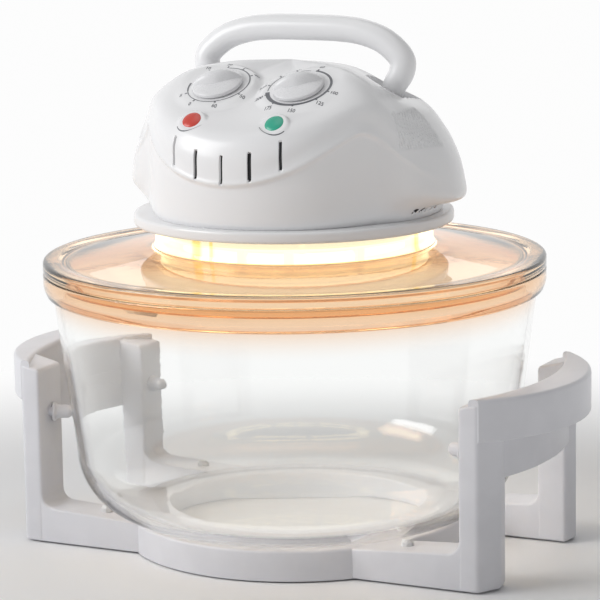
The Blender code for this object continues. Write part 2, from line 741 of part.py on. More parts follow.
def peg_seat(side_y):
    """Centre of a steady peg on its post's inner face, and the direction to the bowl."""
    point = Vector((POST_INNER_X, side_y * (POST_OUTER_Y - POST_DEPTH / 2), PEG_Z))
    direction = Vector((-point.x, -point.y, 0.0)).normalized()
    return point, direction


def bowl_radius_at(z):
    """Outer radius of the bowl's slanting side."""
    share = (z - BOWL_SIDE_Z) / (BOWL_NECK_Z - BOWL_SIDE_Z)
    return BOWL_SIDE_RADIUS + (BOWL_NECK_RADIUS - BOWL_SIDE_RADIUS) * share


def build_frame(side, name):
    """One handle frame; it is drawn on the right and turned about Z for the left."""
    turn = Matrix.Rotation(0.0 if side > 0 else math.pi, 4, "Z")
    middle = GRIP_TOP_Z - GRIP_BAND_HEIGHT
    frame = add_object(name, place(frame_post(-1), turn), white_plastic(name))
    combine(frame, place(frame_post(1), turn), "UNION", "rear_post")
    for label, side_y in (("front_arm", -1), ("rear_arm", 1)):
        combine(frame, place(frame_arm(side_y), turn), "UNION", label)
    combine(frame, place(prism(grip_outline(), middle, GRIP_TOP_Z), turn), "UNION", "grip")
    apron_ring = turned([(GRIP_INNER_RADIUS - GAP, APRON_BOTTOM_Z), (GRIP_INNER_RADIUS + APRON_WALL, APRON_BOTTOM_Z),
                         (GRIP_INNER_RADIUS + APRON_WALL, GRIP_TOP_Z - GRIP_ROOF),
                         (GRIP_INNER_RADIUS - GAP, GRIP_TOP_Z - GRIP_ROOF)])
    apron = add_object(name + "_apron", place(apron_ring, turn), None)
    apron.hide_render = True
    apron.display_type = "WIRE"
    window = place(prism(apron_outline(), 0.0, GRIP_REACH_X, "YZ"), turn)
    combine(apron, window, "INTERSECT", "window")
    join = frame.modifiers.new("apron", "BOOLEAN")
    join.operation = "UNION"
    join.solver = "EXACT"
    join.object = apron
    hollow = grip_outline(GRIP_WALL, APRON_WALL + GRIP_WALL, GRIP_HOLLOW_SHARE)
    combine(frame, place(prism(hollow, middle - OVERRUN, GRIP_TOP_Z - GRIP_ROOF), turn), "DIFFERENCE", "hollow")
    combine(frame, rod(RING_OUTER_RADIUS + GAP, 0.0, GRIP_TOP_Z / 2, TURN_STEPS), "DIFFERENCE", "ring_seat")
    holes = [screw_hole(FRAME_SCREW_LENGTH, point, direction) for point, direction in frame_screw_seats()
             if point.x * side > 0]
    for side_y in (-1, 1):
        foot = Vector((FOOT_X, side_y * (POST_OUTER_Y - POST_DEPTH / 2), 0.0))
        holes.append(place(rod(FOOT_RADIUS - PEG_ROOT_DEPTH + GAP, 0.0, FOOT_HEIGHT + FOOT_RECESS + GAP),
                           turn @ Matrix.Translation(foot)))
        point, direction = peg_seat(side_y)
        holes.append(place(rod(PEG_RADIUS - FOOT_RECESS + GAP, -PEG_ROOT_DEPTH - GAP, PEG_ROOT_DEPTH),
                           turn @ along(point, direction)))
        pad = Vector((PAD_X, side_y * PAD_Y, ARM_RING_Z - PAD_RECESS))
        holes.append(place(rod(PAD_RADIUS + GAP, 0.0, ARM_POST_Z), turn @ Matrix.Translation(pad)))
    combine(frame, merged(*holes), "DIFFERENCE", "holes")
    return frame


def build_stand():
    """Ring, two handle frames, screws, feet, pegs and pads."""
    build_ring()
    build_frame(1, "handle_frame_right")
    build_frame(-1, "handle_frame_left")
    for i, (point, direction) in enumerate(frame_screw_seats(), 1):
        start = point - direction * GAP
        add_object(f"frame_screw_{i}", screw_body(FRAME_SCREW_LENGTH, start, direction), steel("frame_screw"))
    foot_profile = [(0.0, 0.0), (FOOT_RADIUS * 0.85, 0.0), (FOOT_RADIUS, FOOT_HEIGHT - GAP),
                    (FOOT_RADIUS - PEG_ROOT_DEPTH, FOOT_HEIGHT - GAP),
                    (FOOT_RADIUS - PEG_ROOT_DEPTH, FOOT_HEIGHT + FOOT_RECESS), (0.0, FOOT_HEIGHT + FOOT_RECESS)]
    rubber = finish("rubber", (0.75, 0.75, 0.75), 0.7)
    number = 0
    for side in (1, -1):
        turn = Matrix.Rotation(0.0 if side > 0 else math.pi, 4, "Z")
        for side_y in (-1, 1):
            number += 1
            foot = Vector((FOOT_X, side_y * (POST_OUTER_Y - POST_DEPTH / 2), 0.0))
            add_object(f"foot_pad_{number}", place(turned(foot_profile, SMALL_STEPS),
                                                   turn @ Matrix.Translation(foot)), rubber)
            point, direction = peg_seat(side_y)
            reach = math.hypot(point.x, point.y) - bowl_radius_at(PEG_Z) - 2 * GAP
            root = PEG_RADIUS - FOOT_RECESS
            face = PEG_COLLAR_START
            peg = [(0.0, -PEG_ROOT_DEPTH), (root, -PEG_ROOT_DEPTH), (root, face)]
            peg += [(PEG_RADIUS, face), (PEG_RADIUS, reach - PEG_RADIUS)]
            peg += arc((0.0, reach - PEG_RADIUS), PEG_RADIUS, 0.0, math.pi / 2, FILLET_STEPS)[1:]
            add_object(f"bowl_peg_{number}", place(turned(peg, SMALL_STEPS), turn @ along(point, direction)),
                       white_plastic("peg"))
            pad_top = pad_height()
            pad = [(0.0, 0.0), (PAD_RADIUS, 0.0), (PAD_RADIUS, pad_top - PAD_RADIUS / 2),
                   (PAD_RADIUS * 0.7, pad_top), (0.0, pad_top)]
            base = Vector((PAD_X, side_y * PAD_Y, ARM_RING_Z - PAD_RECESS + GAP))
            add_object(f"bowl_pad_{number}", place(turned(pad, SMALL_STEPS), turn @ Matrix.Translation(base)),
                       rubber)


def pad_height():
    """Length of a bowl pad that ends just under the bowl's rounded corner."""
    radius = math.hypot(PAD_X, PAD_Y) - PAD_RADIUS
    across = (radius - BOWL_FOOT_RADIUS) / (BOWL_SIDE_RADIUS - BOWL_FOOT_RADIUS)
    up = BOWL_SIDE_Z - math.sqrt(max(1.0 - across**2, 0.0)) * (BOWL_SIDE_Z - BOWL_BOTTOM_Z)
    return up - (ARM_RING_Z - PAD_RECESS) - 3 * GAP


def build_bowl():
    """Glass bowl: a rounded foot, sloping sides and a thick lipped rim."""
    def corner(radius, height, side, foot, steps):
        across = side - foot
        up = BOWL_SIDE_Z - height
        return [(foot + across * math.sin(math.pi / 2 * i / steps),
                 height + up * (1 - math.cos(math.pi / 2 * i / steps))) for i in range(steps + 1)]

    outer = [(0.0, BOWL_BOTTOM_Z)]
    outer += corner(0.0, BOWL_BOTTOM_Z, BOWL_SIDE_RADIUS, BOWL_FOOT_RADIUS, BOWL_CORNER_STEPS)
    outer += [(BOWL_NECK_RADIUS, BOWL_NECK_Z), (RIM_RADIUS - 2 * RIM_EDGE, BOWL_NECK_Z + RIM_EDGE),
              (RIM_RADIUS, RIM_LIP_Z), (RIM_RADIUS, RIM_TOP_Z - RIM_EDGE), (RIM_RADIUS - RIM_EDGE, RIM_TOP_Z)]
    mouth = BOWL_NECK_RADIUS - BOWL_WALL
    inner = corner(0.0, BOWL_BOTTOM_Z + BOWL_WALL, BOWL_SIDE_RADIUS - BOWL_WALL, BOWL_FOOT_RADIUS - BOWL_WALL / 2,
                   BOWL_CORNER_STEPS)
    inner = [(0.0, BOWL_BOTTOM_Z + BOWL_WALL)] + inner + [(mouth, BOWL_NECK_Z), (mouth, RIM_TOP_Z)]
    add_object("glass_bowl", turned(outer + inner[::-1]), clear_glass("bowl"))


def build_lid():
    """Glass lid: a thick edge, a shallow top and a collar with an inner flange that the head clamps."""
    edge = LID_EDGE_ROUND
    skirt = BOWL_NECK_RADIUS - BOWL_WALL - LID_SKIRT_SLACK
    glass = LID_GLASS
    rise = LID_TOP_Z + LID_SHOULDER_RISE
    inner_collar = COLLAR_RADIUS - COLLAR_WALL
    profile = [(RIM_RADIUS - edge / 2, LID_SEAT_Z), (RIM_RADIUS, LID_SEAT_Z + edge / 2),
               (RIM_RADIUS, LID_TOP_Z - edge), (RIM_RADIUS - edge, LID_TOP_Z),
               (RIM_RADIUS - LID_EDGE_WIDTH, LID_TOP_Z), (RIM_RADIUS - 1.6 * LID_EDGE_WIDTH, LID_TOP_Z - LID_DIP),
               (LID_SHOULDER_RADIUS, rise), (COLLAR_RADIUS + glass / 2, rise + glass / 3),
               (COLLAR_RADIUS, rise + glass), (COLLAR_RADIUS, COLLAR_TOP_Z),
               (inner_collar - COLLAR_FLANGE, COLLAR_TOP_Z), (inner_collar - COLLAR_FLANGE, FLANGE_BOTTOM_Z),
               (inner_collar, FLANGE_BOTTOM_Z), (inner_collar, rise + glass / 2),
               (inner_collar + glass / 2, rise - glass / 2), (LID_SHOULDER_RADIUS - glass / 4, rise - glass),
               (skirt - LID_SKIRT_WALL, LID_TOP_Z - glass), (skirt - LID_SKIRT_WALL, LID_SEAT_Z - LID_SKIRT_DEPTH),
               (skirt, LID_SEAT_Z - LID_SKIRT_DEPTH), (skirt, LID_SEAT_Z)]
    add_object("glass_lid", turned(profile), clear_glass("lid"))
    seal_outer = COLLAR_RADIUS - GAP
    seal_low = COLLAR_TOP_Z + GAP
    seal = [(seal_outer - SEAL_WIDTH, seal_low), (seal_outer, seal_low), (seal_outer, seal_low + SEAL_THICKNESS),
            (seal_outer - SEAL_WIDTH, seal_low + SEAL_THICKNESS)]
    add_object("lid_seal", turned(seal, TURN_STEPS), finish("silicone", (0.85, 0.30, 0.16), 0.5))


def plate_screw_angles():
    """Angles of the screws that hold the heat plate."""
    return [PLATE_SCREW_TURN + 2 * math.pi * i / PLATE_SCREW_COUNT for i in range(PLATE_SCREW_COUNT)]


def build_base():
    """Head base: a round tray whose rim shows under the covers."""
    edge = BASE_EDGE
    floor_low = BASE_TOP_Z - BASE_FLOOR
    profile = [(BASE_HOLE_RADIUS, floor_low), (BASE_LAND_RADIUS, floor_low), (BASE_LAND_RADIUS, BASE_BOTTOM_Z),
               (BASE_RADIUS - edge, BASE_BOTTOM_Z), (BASE_RADIUS, BASE_BOTTOM_Z + edge),
               (BASE_RADIUS, BASE_TOP_Z - edge), (BASE_RADIUS - edge, BASE_TOP_Z), (BASE_HOLE_RADIUS, BASE_TOP_Z)]
    base = add_object("head_base", turned(profile), white_plastic("head_base"))
    holes = [screw_hole(BASE_BOTTOM_Z + PLATE_SCREW_GRIP - PLATE_BOTTOM_Z,
                        polar(PLATE_SCREW_RADIUS, angle, PLATE_BOTTOM_Z), (0, 0, 1))
             for angle in plate_screw_angles()]
    for angle in COVER_SCREW_ANGLES:
        start = polar(COVER_SCREW_RADIUS, angle, BASE_BOTTOM_Z + SCREW_HEAD_HEIGHT + 2 * GAP)
        holes.append(screw_hole(BASE_HEIGHT, start, (0, 0, 1), SCREW_HEAD_HEIGHT + OVERRUN))
    combine(base, merged(*holes), "DIFFERENCE", "screw_holes")


def build_plate():
    """Heat plate under the lid's flange, with its screws."""
    profile = [(PLATE_HOLE_RADIUS, PLATE_BOTTOM_Z), (GUARD_RADIUS, PLATE_BOTTOM_Z), (GUARD_RADIUS, PLATE_TOP_Z),
               (PLATE_HOLE_RADIUS, PLATE_TOP_Z)]
    plate = add_object("heat_plate", turned(profile), steel("heat_plate"))
    holes = []
    for i, angle in enumerate(plate_screw_angles(), 1):
        start = polar(PLATE_SCREW_RADIUS, angle, PLATE_BOTTOM_Z)
        holes.append(screw_hole(PLATE_THICKNESS + OVERRUN, start, (0, 0, 1)))
        length = BASE_BOTTOM_Z + PLATE_SCREW_GRIP - PLATE_BOTTOM_Z
        seat = start - Vector((0.0, 0.0, GAP))
        add_object(f"plate_screw_{i}", screw_body(length, seat, (0, 0, 1)), steel("plate_screw"))
    combine(plate, merged(*holes), "DIFFERENCE", "screw_holes")


def build_lamp():
    """Open ring lamp, the block that holds its ends, and its clips."""
    start = math.pi + LAMP_GAP_ANGLE / 2
    sweep = 2 * math.pi - LAMP_GAP_ANGLE
    path = [polar(LAMP_RING_RADIUS, start + sweep * i / LAMP_STEPS, LAMP_Z) for i in range(LAMP_STEPS + 1)]
    radii = [LAMP_TUBE_RADIUS] * len(path)
    add_object("lamp_ring", tube(path, radii, LAMP_SIDES, Vector((0, 0, 1))),
               finish("lamp", (1.0, 0.82, 0.42), 0.3, glow=3.0))
    half = (LAMP_RING_RADIUS - LAMP_TUBE_RADIUS) * math.sin(LAMP_GAP_ANGLE / 2) - LAMP_BLOCK_SLACK
    radial = CLIP_RADIAL / 2
    top = PLATE_BOTTOM_Z - GAP
    low = LAMP_Z - LAMP_TUBE_RADIUS - CLIP_CHIN
    rear = block((-half, half), (LAMP_RING_RADIUS - radial, LAMP_RING_RADIUS + radial), (low, top))
    ceramic = finish("ceramic", (0.88, 0.84, 0.76), 0.6)
    add_object("lamp_block", rear, ceramic)
    for i, angle in enumerate((math.radians(-60), math.radians(0), math.radians(60)), 1):
        turn = Matrix.Rotation(angle, 4, "Z")
        body = block((-CLIP_WIDTH / 2, CLIP_WIDTH / 2), (-LAMP_RING_RADIUS - radial, -LAMP_RING_RADIUS + radial),
                     (low, top))
        clip = add_object(f"lamp_clip_{i}", place(body, turn), ceramic)
        bore = rod(LAMP_TUBE_RADIUS + 2 * GAP, -CLIP_WIDTH, CLIP_WIDTH)
        place(bore, turn @ along((0.0, -LAMP_RING_RADIUS, LAMP_Z), (1, 0, 0)))
        combine(clip, bore, "DIFFERENCE", "bore")


def build_guard():
    """Lamp guard: a rim band, a spoked floor and three legs up to the heat plate."""
    low = GUARD_TOP_Z - GUARD_RIM_HEIGHT
    metal = GUARD_METAL
    shelf = GUARD_RADIUS - GUARD_SHELF
    profile = [(shelf, low), (GUARD_RADIUS, low), (GUARD_RADIUS, GUARD_TOP_Z), (GUARD_RADIUS - metal, GUARD_TOP_Z),
               (GUARD_RADIUS - metal, low + metal), (shelf, low + metal)]
    guard = add_object("lamp_guard", turned(profile), steel("guard"))
    combine(guard, rod(GUARD_HUB_RADIUS, low, low + metal, SMALL_STEPS), "UNION", "hub")
    for i in range(GUARD_SPOKES):
        turn = Matrix.Rotation(2 * math.pi * i / GUARD_SPOKES, 4, "Z")
        spoke = block((-GUARD_SPOKE_WIDTH / 2, GUARD_SPOKE_WIDTH / 2), (-shelf - metal, -GUARD_HUB_RADIUS / 2),
                      (low + metal / 6, low + metal * 5 / 6))
        combine(guard, place(spoke, turn), "UNION", f"spoke_{i}")
    for i, angle in enumerate(GUARD_LEG_ANGLES):
        turn = Matrix.Rotation(angle, 4, "Z")
        outer = GUARD_RADIUS - metal / 4
        leg = block((-GUARD_LEG_WIDTH / 2, GUARD_LEG_WIDTH / 2), (-outer, -outer + metal),
                    (low + metal / 2, PLATE_BOTTOM_Z - GAP))
        combine(guard, place(leg, turn), "UNION", f"leg_{i}")


def fan(radius):
    """A hub with pitched blades, centred on the origin, and the shaft's bore."""
    hub = rod(HUB_RADIUS, -HUB_HEIGHT / 2, HUB_HEIGHT / 2, SMALL_STEPS)
    blades = []
    for i in range(BLADE_COUNT):
        blade = block((HUB_RADIUS * 0.7, radius), (-BLADE_METAL / 2, BLADE_METAL / 2),
                      (-BLADE_HEIGHT / 2, BLADE_HEIGHT / 2))
        place(blade, Matrix.Rotation(BLADE_PITCH, 4, "X"))
        place(blade, Matrix.Rotation(2 * math.pi * i / BLADE_COUNT, 4, "Z"))
        blades.append(blade)
    bore = rod(SHAFT_RADIUS + GAP, -HUB_HEIGHT, HUB_HEIGHT, SMALL_STEPS)
    return hub, blades, bore


def build_motor():
    """Motor on its bracket, with the shaft and the two fans."""
    motor_axis = add_empty("motor_axis", (0.0, 0.0, 0.0))
    edge = MOTOR_EDGE
    bore = SHAFT_RADIUS + GAP
    motor = [(bore, MOTOR_BOTTOM_Z), (MOTOR_RADIUS - edge, MOTOR_BOTTOM_Z), (MOTOR_RADIUS, MOTOR_BOTTOM_Z + edge),
             (MOTOR_RADIUS, MOTOR_TOP_Z - edge), (MOTOR_RADIUS - edge, MOTOR_TOP_Z), (bore, MOTOR_TOP_Z)]
    add_object("motor", turned(motor, 2 * SMALL_STEPS), finish("motor", (0.35, 0.35, 0.37), 0.4, metallic=0.8))
    metal = BRACKET_METAL
    base = BASE_TOP_Z + GAP
    reach = BRACKET_REACH
    strap = [(-reach - BRACKET_FOOT, base), (-reach, base), (-reach, BRACKET_TOP_Z - metal),
             (reach, BRACKET_TOP_Z - metal), (reach, base), (reach + BRACKET_FOOT, base),
             (reach + BRACKET_FOOT, base + metal), (reach + metal, base + metal), (reach + metal, BRACKET_TOP_Z),
             (-reach - metal, BRACKET_TOP_Z), (-reach - metal, base + metal), (-reach - BRACKET_FOOT, base + metal)]
    bracket = add_object("motor_bracket", prism(strap, -BRACKET_WIDTH / 2, BRACKET_WIDTH / 2, "XZ"),
                         steel("bracket"))
    combine(bracket, rod(BRACKET_HOLE_RADIUS, base, MOTOR_BOTTOM_Z), "DIFFERENCE", "shaft_hole")
    hot_z = PLATE_BOTTOM_Z - HOT_FAN_DROP
    cool_z = BASE_TOP_Z + COOL_FAN_LIFT + HUB_HEIGHT / 2
    shaft = rod(SHAFT_RADIUS, hot_z - HUB_HEIGHT / 2 - metal, MOTOR_TOP_Z + SHAFT_ABOVE_MOTOR)
    add_object("motor_shaft", shaft, steel("shaft"), motor_axis)
    for name, radius, height, mat in (("convection_fan", HOT_FAN_RADIUS, hot_z, steel("convection_fan")),
                                      ("cooling_fan", COOL_FAN_RADIUS, cool_z,
                                       finish("cooling_fan", (0.25, 0.25, 0.26), 0.5))):
        hub, blades, hole = fan(radius)
        lift = Matrix.Translation((0.0, 0.0, height))
        wheel = add_object(name, place(hub, lift), mat, motor_axis)
        for i, blade in enumerate(blades):
            combine(wheel, place(blade, lift), "UNION", f"blade_{i}")
        combine(wheel, place(hole, lift), "DIFFERENCE", "bore")


def knob_origin(side):
    """The point where a knob's axis leaves the covers' surface."""
    x = side * KNOB_X
    return Vector((x, KNOB_Y, cover_height_at(x, KNOB_Y)))


def knob_lift():
    """How far the covers' surface rises over the knob's seat plane inside its skirt."""
    centre = knob_origin(1)
    highest = 0.0
    for i in range(TURN_STEPS):
        angle = 2 * math.pi * i / TURN_STEPS
        x = centre.x + KNOB_RADIUS * math.cos(angle)
        y = centre.y + KNOB_RADIUS * math.sin(angle) * math.cos(KNOB_TILT)
        point = Vector((x, y, cover_height_at(x, y)))
        highest = max(highest, (point - centre).dot(KNOB_NORMAL))
    return highest + 2 * GAP


def knob_body():
    """A round skirted knob with a tapered finger grip across it, seated on the origin."""
    low = 0.0
    skirt = [(0.0, low), (KNOB_RADIUS, low), (KNOB_RADIUS, low + KNOB_SKIRT * 0.7),
             (KNOB_RADIUS * 0.95, low + KNOB_SKIRT), (KNOB_RADIUS * 0.6, low + KNOB_CROWN),
             (0.0, low + KNOB_CROWN * 1.1)]
    half_length = KNOB_RADIUS * 0.93
    half_width = KNOB_GRIP_WIDTH / 2
    top = KNOB_GRIP_TOP_SHARE
    bm = bmesh.new()
    foot = [bm.verts.new((x, y, low + KNOB_SKIRT * 0.4)) for x, y in
            ((-half_width * 0.7, -half_length), (half_width * 0.7, -half_length), (half_width, half_length * 0.6),
             (half_width * 0.3, half_length), (-half_width * 0.3, half_length), (-half_width, half_length * 0.6))]
    ridge = [bm.verts.new((x, y, z)) for x, y, z in
             ((-half_width * 0.4 * top, -half_length * 0.62, low + KNOB_GRIP_HEIGHT),
              (half_width * 0.4 * top, -half_length * 0.62, low + KNOB_GRIP_HEIGHT),
              (half_width * top, half_length * 0.45, low + KNOB_GRIP_HEIGHT),
              (half_width * 0.3 * top, half_length * 0.74, low + KNOB_GRIP_HEIGHT * 0.94),
              (-half_width * 0.3 * top, half_length * 0.74, low + KNOB_GRIP_HEIGHT * 0.94),
              (-half_width * top, half_length * 0.45, low + KNOB_GRIP_HEIGHT))]
    count = len(foot)
    bm.faces.new(foot[::-1])
    for i in range(count):
        j = (i + 1) % count
        bm.faces.new((foot[i], foot[j], ridge[j]))
        bm.faces.new((foot[i], ridge[j], ridge[i]))
    crest = bm.verts.new((0.0, 0.0, low + KNOB_GRIP_HEIGHT))
    for i in range(count):
        bm.faces.new((ridge[i], ridge[(i + 1) % count], crest))
    bmesh.ops.recalc_face_normals(bm, faces=bm.faces)
    return turned(skirt, 2 * SMALL_STEPS), bm


def build_control(name, side, rest_angle):
    """One knob with its shaft and the timer or thermostat body behind the cover."""
    origin = knob_origin(side)
    stand = along(origin, KNOB_NORMAL)
    lift = knob_lift()
    axis = add_empty(name + "_axis", (0.0, 0.0, 0.0))
    skirt, grip = knob_body()
    turn = stand @ Matrix.Translation((0.0, 0.0, lift)) @ Matrix.Rotation(rest_angle, 4, "Z")
    knob = add_object(name + "_knob", place(skirt, turn), white_plastic(name + "_knob"), axis)
    combine(knob, place(grip, turn), "UNION", "grip")
    bore = rod(KNOB_SHAFT_RADIUS + GAP, -OVERRUN, KNOB_BORE_DEPTH)
    combine(knob, place(bore, turn), "DIFFERENCE", "bore")
    shaft = rod(KNOB_SHAFT_RADIUS, -CONTROL_DROP, lift + KNOB_BORE_DEPTH - GAP)
    add_object(name + "_shaft", place(shaft, stand), steel(name + "_shaft"), axis)
    half = CONTROL_SIZE / 2
    case = block((-half, half), (-half, half), (-CONTROL_DROP - CONTROL_DEPTH, -CONTROL_DROP))
    body = add_object(name + "_body", place(case, stand), finish(name, (0.22, 0.22, 0.24), 0.5))
    combine(body, place(rod(BUSH_RADIUS, -CONTROL_DROP - OVERRUN, lift - GAP), stand), "UNION", "bush")
    well = rod(KNOB_SHAFT_RADIUS + GAP, -CONTROL_DROP - GAP, lift + OVERRUN)
    combine(body, place(well, stand), "DIFFERENCE", "well")


def lens_origin(side):
    """The point where a lens's axis leaves the covers' surface."""
    x = side * LENS_X
    return Vector((x, LENS_Y, cover_height_at(x, LENS_Y)))


def build_lens(name, side, color):
    """A domed pilot lamp lens with its flange behind the cover."""
    flange = LENS_RADIUS + LENS_FLANGE
    low = -LENS_FLANGE_DROP
    profile = [(0.0, low - LENS_FLANGE), (flange, low - LENS_FLANGE), (flange, low), (LENS_RADIUS, low),
               (LENS_RADIUS, LENS_PROUD * 0.3), (LENS_RADIUS * 0.85, LENS_PROUD * 0.8),
               (LENS_RADIUS * 0.45, LENS_PROUD), (0.0, LENS_PROUD * 1.05)]
    body = place(turned(profile, 2 * SMALL_STEPS), along(lens_origin(side), LENS_NORMAL))
    add_object(name, body, finish(name, color, 0.15))


def pocket_outline(grow):
    """Side view of a handle pocket, grown for the wall round it."""
    front = POCKET_FRONT_Y - grow
    rear = POCKET_REAR_Y + grow
    floor = POCKET_FLOOR_Z - grow
    return [(front, COVER_TOP_Z), (front, floor), (POCKET_FLOOR_Y + grow / 2, floor), (rear, POCKET_REAR_Z - grow),
            (rear, COVER_TOP_Z)]


def cover_cuts():
    """Everything cut through the covers' wall."""
    cuts = []
    reach = COVER_WALL * 4
    for azimuth, top in zip(SLOT_AZIMUTHS, SLOT_TOP_Z):
        slot = block((-SLOT_WIDTH / 2, SLOT_WIDTH / 2), (-COVER_RADIUS - reach, -COVER_RADIUS + reach),
                     (top - SLOT_LENGTH, top))
        cuts.append(place(slot, Matrix.Rotation(math.radians(azimuth), 4, "Z")))
    for side in (1, -1):
        for azimuth in VENT_AZIMUTHS:
            vent = block((-VENT_SIZE / 2, VENT_SIZE / 2), (-COVER_RADIUS - reach, -COVER_RADIUS + reach),
                         (VENT_Z - VENT_SIZE / 2, VENT_Z + VENT_SIZE / 2))
            cuts.append(place(vent, Matrix.Rotation(side * math.radians(azimuth), 4, "Z")))
        cuts.append(place(rod(BUSH_RADIUS + GAP, -reach, reach), along(knob_origin(side), KNOB_NORMAL)))
        cuts.append(place(rod(LENS_RADIUS + GAP, -reach, reach, 2 * SMALL_STEPS),
                          along(lens_origin(side), LENS_NORMAL)))
    for i in range(TOP_VENT_COUNT):
        x = (i - (TOP_VENT_COUNT - 1) / 2) * TOP_VENT_PITCH
        cuts.append(block((x - TOP_VENT_WIDTH / 2, x + TOP_VENT_WIDTH / 2), (TOP_VENT_Y, TOP_VENT_Y + TOP_VENT_LENGTH),
                          (PIVOT_Z, COVER_TOP_Z)))
    cuts.append(block((-INLET_WIDTH / 2 - GAP, INLET_WIDTH / 2 + GAP), (COVER_RADIUS - reach, COVER_RADIUS + reach),
                      (INLET_Z - INLET_HEIGHT / 2 - GAP, INLET_Z + INLET_HEIGHT / 2 + GAP)))
    for angle in COVER_SCREW_ANGLES:
        start = polar(COVER_SCREW_RADIUS, angle, COVER_BOTTOM_Z)
        cuts.append(screw_hole(COVER_BOSS_HEIGHT - OVERRUN, start, (0, 0, 1)))
    return cuts


def shell_with_pockets(name):
    """The covers' wall with screw bosses and handle pockets, before it is split."""
    shell = add_object(name, cover_shell(), white_plastic(name))
    for i, angle in enumerate(COVER_SCREW_ANGLES):
        boss = rod(COVER_BOSS_RADIUS, COVER_BOTTOM_Z, COVER_BOTTOM_Z + COVER_BOSS_HEIGHT)
        web = block((-COVER_WALL / 2, COVER_WALL / 2), (-COVER_SCREW_RADIUS - COVER_WEB_REACH, -COVER_SCREW_RADIUS),
                    (COVER_BOTTOM_Z + GAP, COVER_BOTTOM_Z + COVER_BOSS_HEIGHT / 2))
        place(boss, Matrix.Translation(polar(COVER_SCREW_RADIUS, angle)))
        combine(shell, boss, "UNION", f"boss_{i}")
        combine(shell, place(web, Matrix.Rotation(angle, 4, "Z")), "UNION", f"web_{i}")
    for label, side in (("right", 1), ("left", -1)):
        low, high = PIVOT_X - POCKET_HALF_WIDTH, PIVOT_X + POCKET_HALF_WIDTH
        grown = sorted((side * (low - POCKET_WALL), side * (high + POCKET_WALL)))
        cavity = sorted((side * low, side * high))
        core = add_object(f"{name}_core_{label}", prism(pocket_outline(POCKET_WALL), *grown, "YZ"), None)
        core.hide_render = True
        core.display_type = "WIRE"
        combine(core, cover_solid(), "INTERSECT", "inside")
        join = shell.modifiers.new(f"core_{label}", "BOOLEAN")
        join.operation = "UNION"
        join.solver = "EXACT"
        join.object = core
        combine(shell, prism(pocket_outline(0.0), *cavity, "YZ"), "DIFFERENCE", f"pocket_{label}")
        pin_hole = rod(PIN_RADIUS + GAP, PIVOT_X - POCKET_HALF_WIDTH - POCKET_WALL * 0.8,
                       PIVOT_X + POCKET_HALF_WIDTH + POCKET_WALL * 0.8)
        turn = along((0.0, PIVOT_Y, PIVOT_Z), (side, 0, 0))
        combine(shell, place(pin_hole, turn), "DIFFERENCE", f"pin_hole_{label}")
    plunger = rod(PLUNGER_RADIUS + GAP, POCKET_FLOOR_Z - POCKET_WALL - OVERRUN, POCKET_FLOOR_Z + OVERRUN)
    cuts = cover_cuts() + [place(plunger, Matrix.Translation((-PIVOT_X, PIVOT_Y, 0.0)))]
    combine(shell, merged(*cuts), "DIFFERENCE", "openings")
    return shell


def build_covers():
    """Front and rear covers, cut from one outline, and their screws."""
    wide = COVER_RADIUS * 1.5
    heights = (COVER_BOTTOM_Z - OVERRUN, COVER_TOP_Z + OVERRUN)
    front = shell_with_pockets("front_cover")
    combine(front, block((-wide, wide), (COVER_SPLIT_Y - GAP / 2, wide), heights), "DIFFERENCE", "rear_half")
    rear = shell_with_pockets("rear_cover")
    combine(rear, block((-wide, wide), (-wide, COVER_SPLIT_Y + GAP / 2), heights), "DIFFERENCE", "front_half")
    for i, angle in enumerate(COVER_SCREW_ANGLES, 1):
        start = polar(COVER_SCREW_RADIUS, angle, BASE_BOTTOM_Z + SCREW_HEAD_HEIGHT + GAP)
        add_object(f"cover_screw_{i}", screw_body(BASE_HEIGHT + COVER_BOSS_HEIGHT / 2, start, (0, 0, 1)),
                   steel("cover_screw"))


def handle_path():
    """Centre line and radii of the arch handle from the right foot to the left, leaning back from its pivots."""
    top = HANDLE_TOP_Z - HANDLE_TUBE_RADIUS
    rise = (top - PIVOT_Z) / math.cos(HANDLE_LEAN)
    half = []
    for spread, up in zip(HANDLE_PATH_SPREAD_SHARES, HANDLE_PATH_HEIGHT_SHARES):
        along_arch = rise * up
        half.append(Vector((HANDLE_SPREAD * spread, PIVOT_Y + along_arch * math.sin(HANDLE_LEAN),
                            PIVOT_Z + along_arch * math.cos(HANDLE_LEAN))))
    mirrored = [Vector((-point.x, point.y, point.z)) for point in half[-2::-1]]
    radii = [HANDLE_TUBE_RADIUS * share for share in HANDLE_PATH_RADIUS_SHARES]
    return half + mirrored, radii + radii[-2::-1]


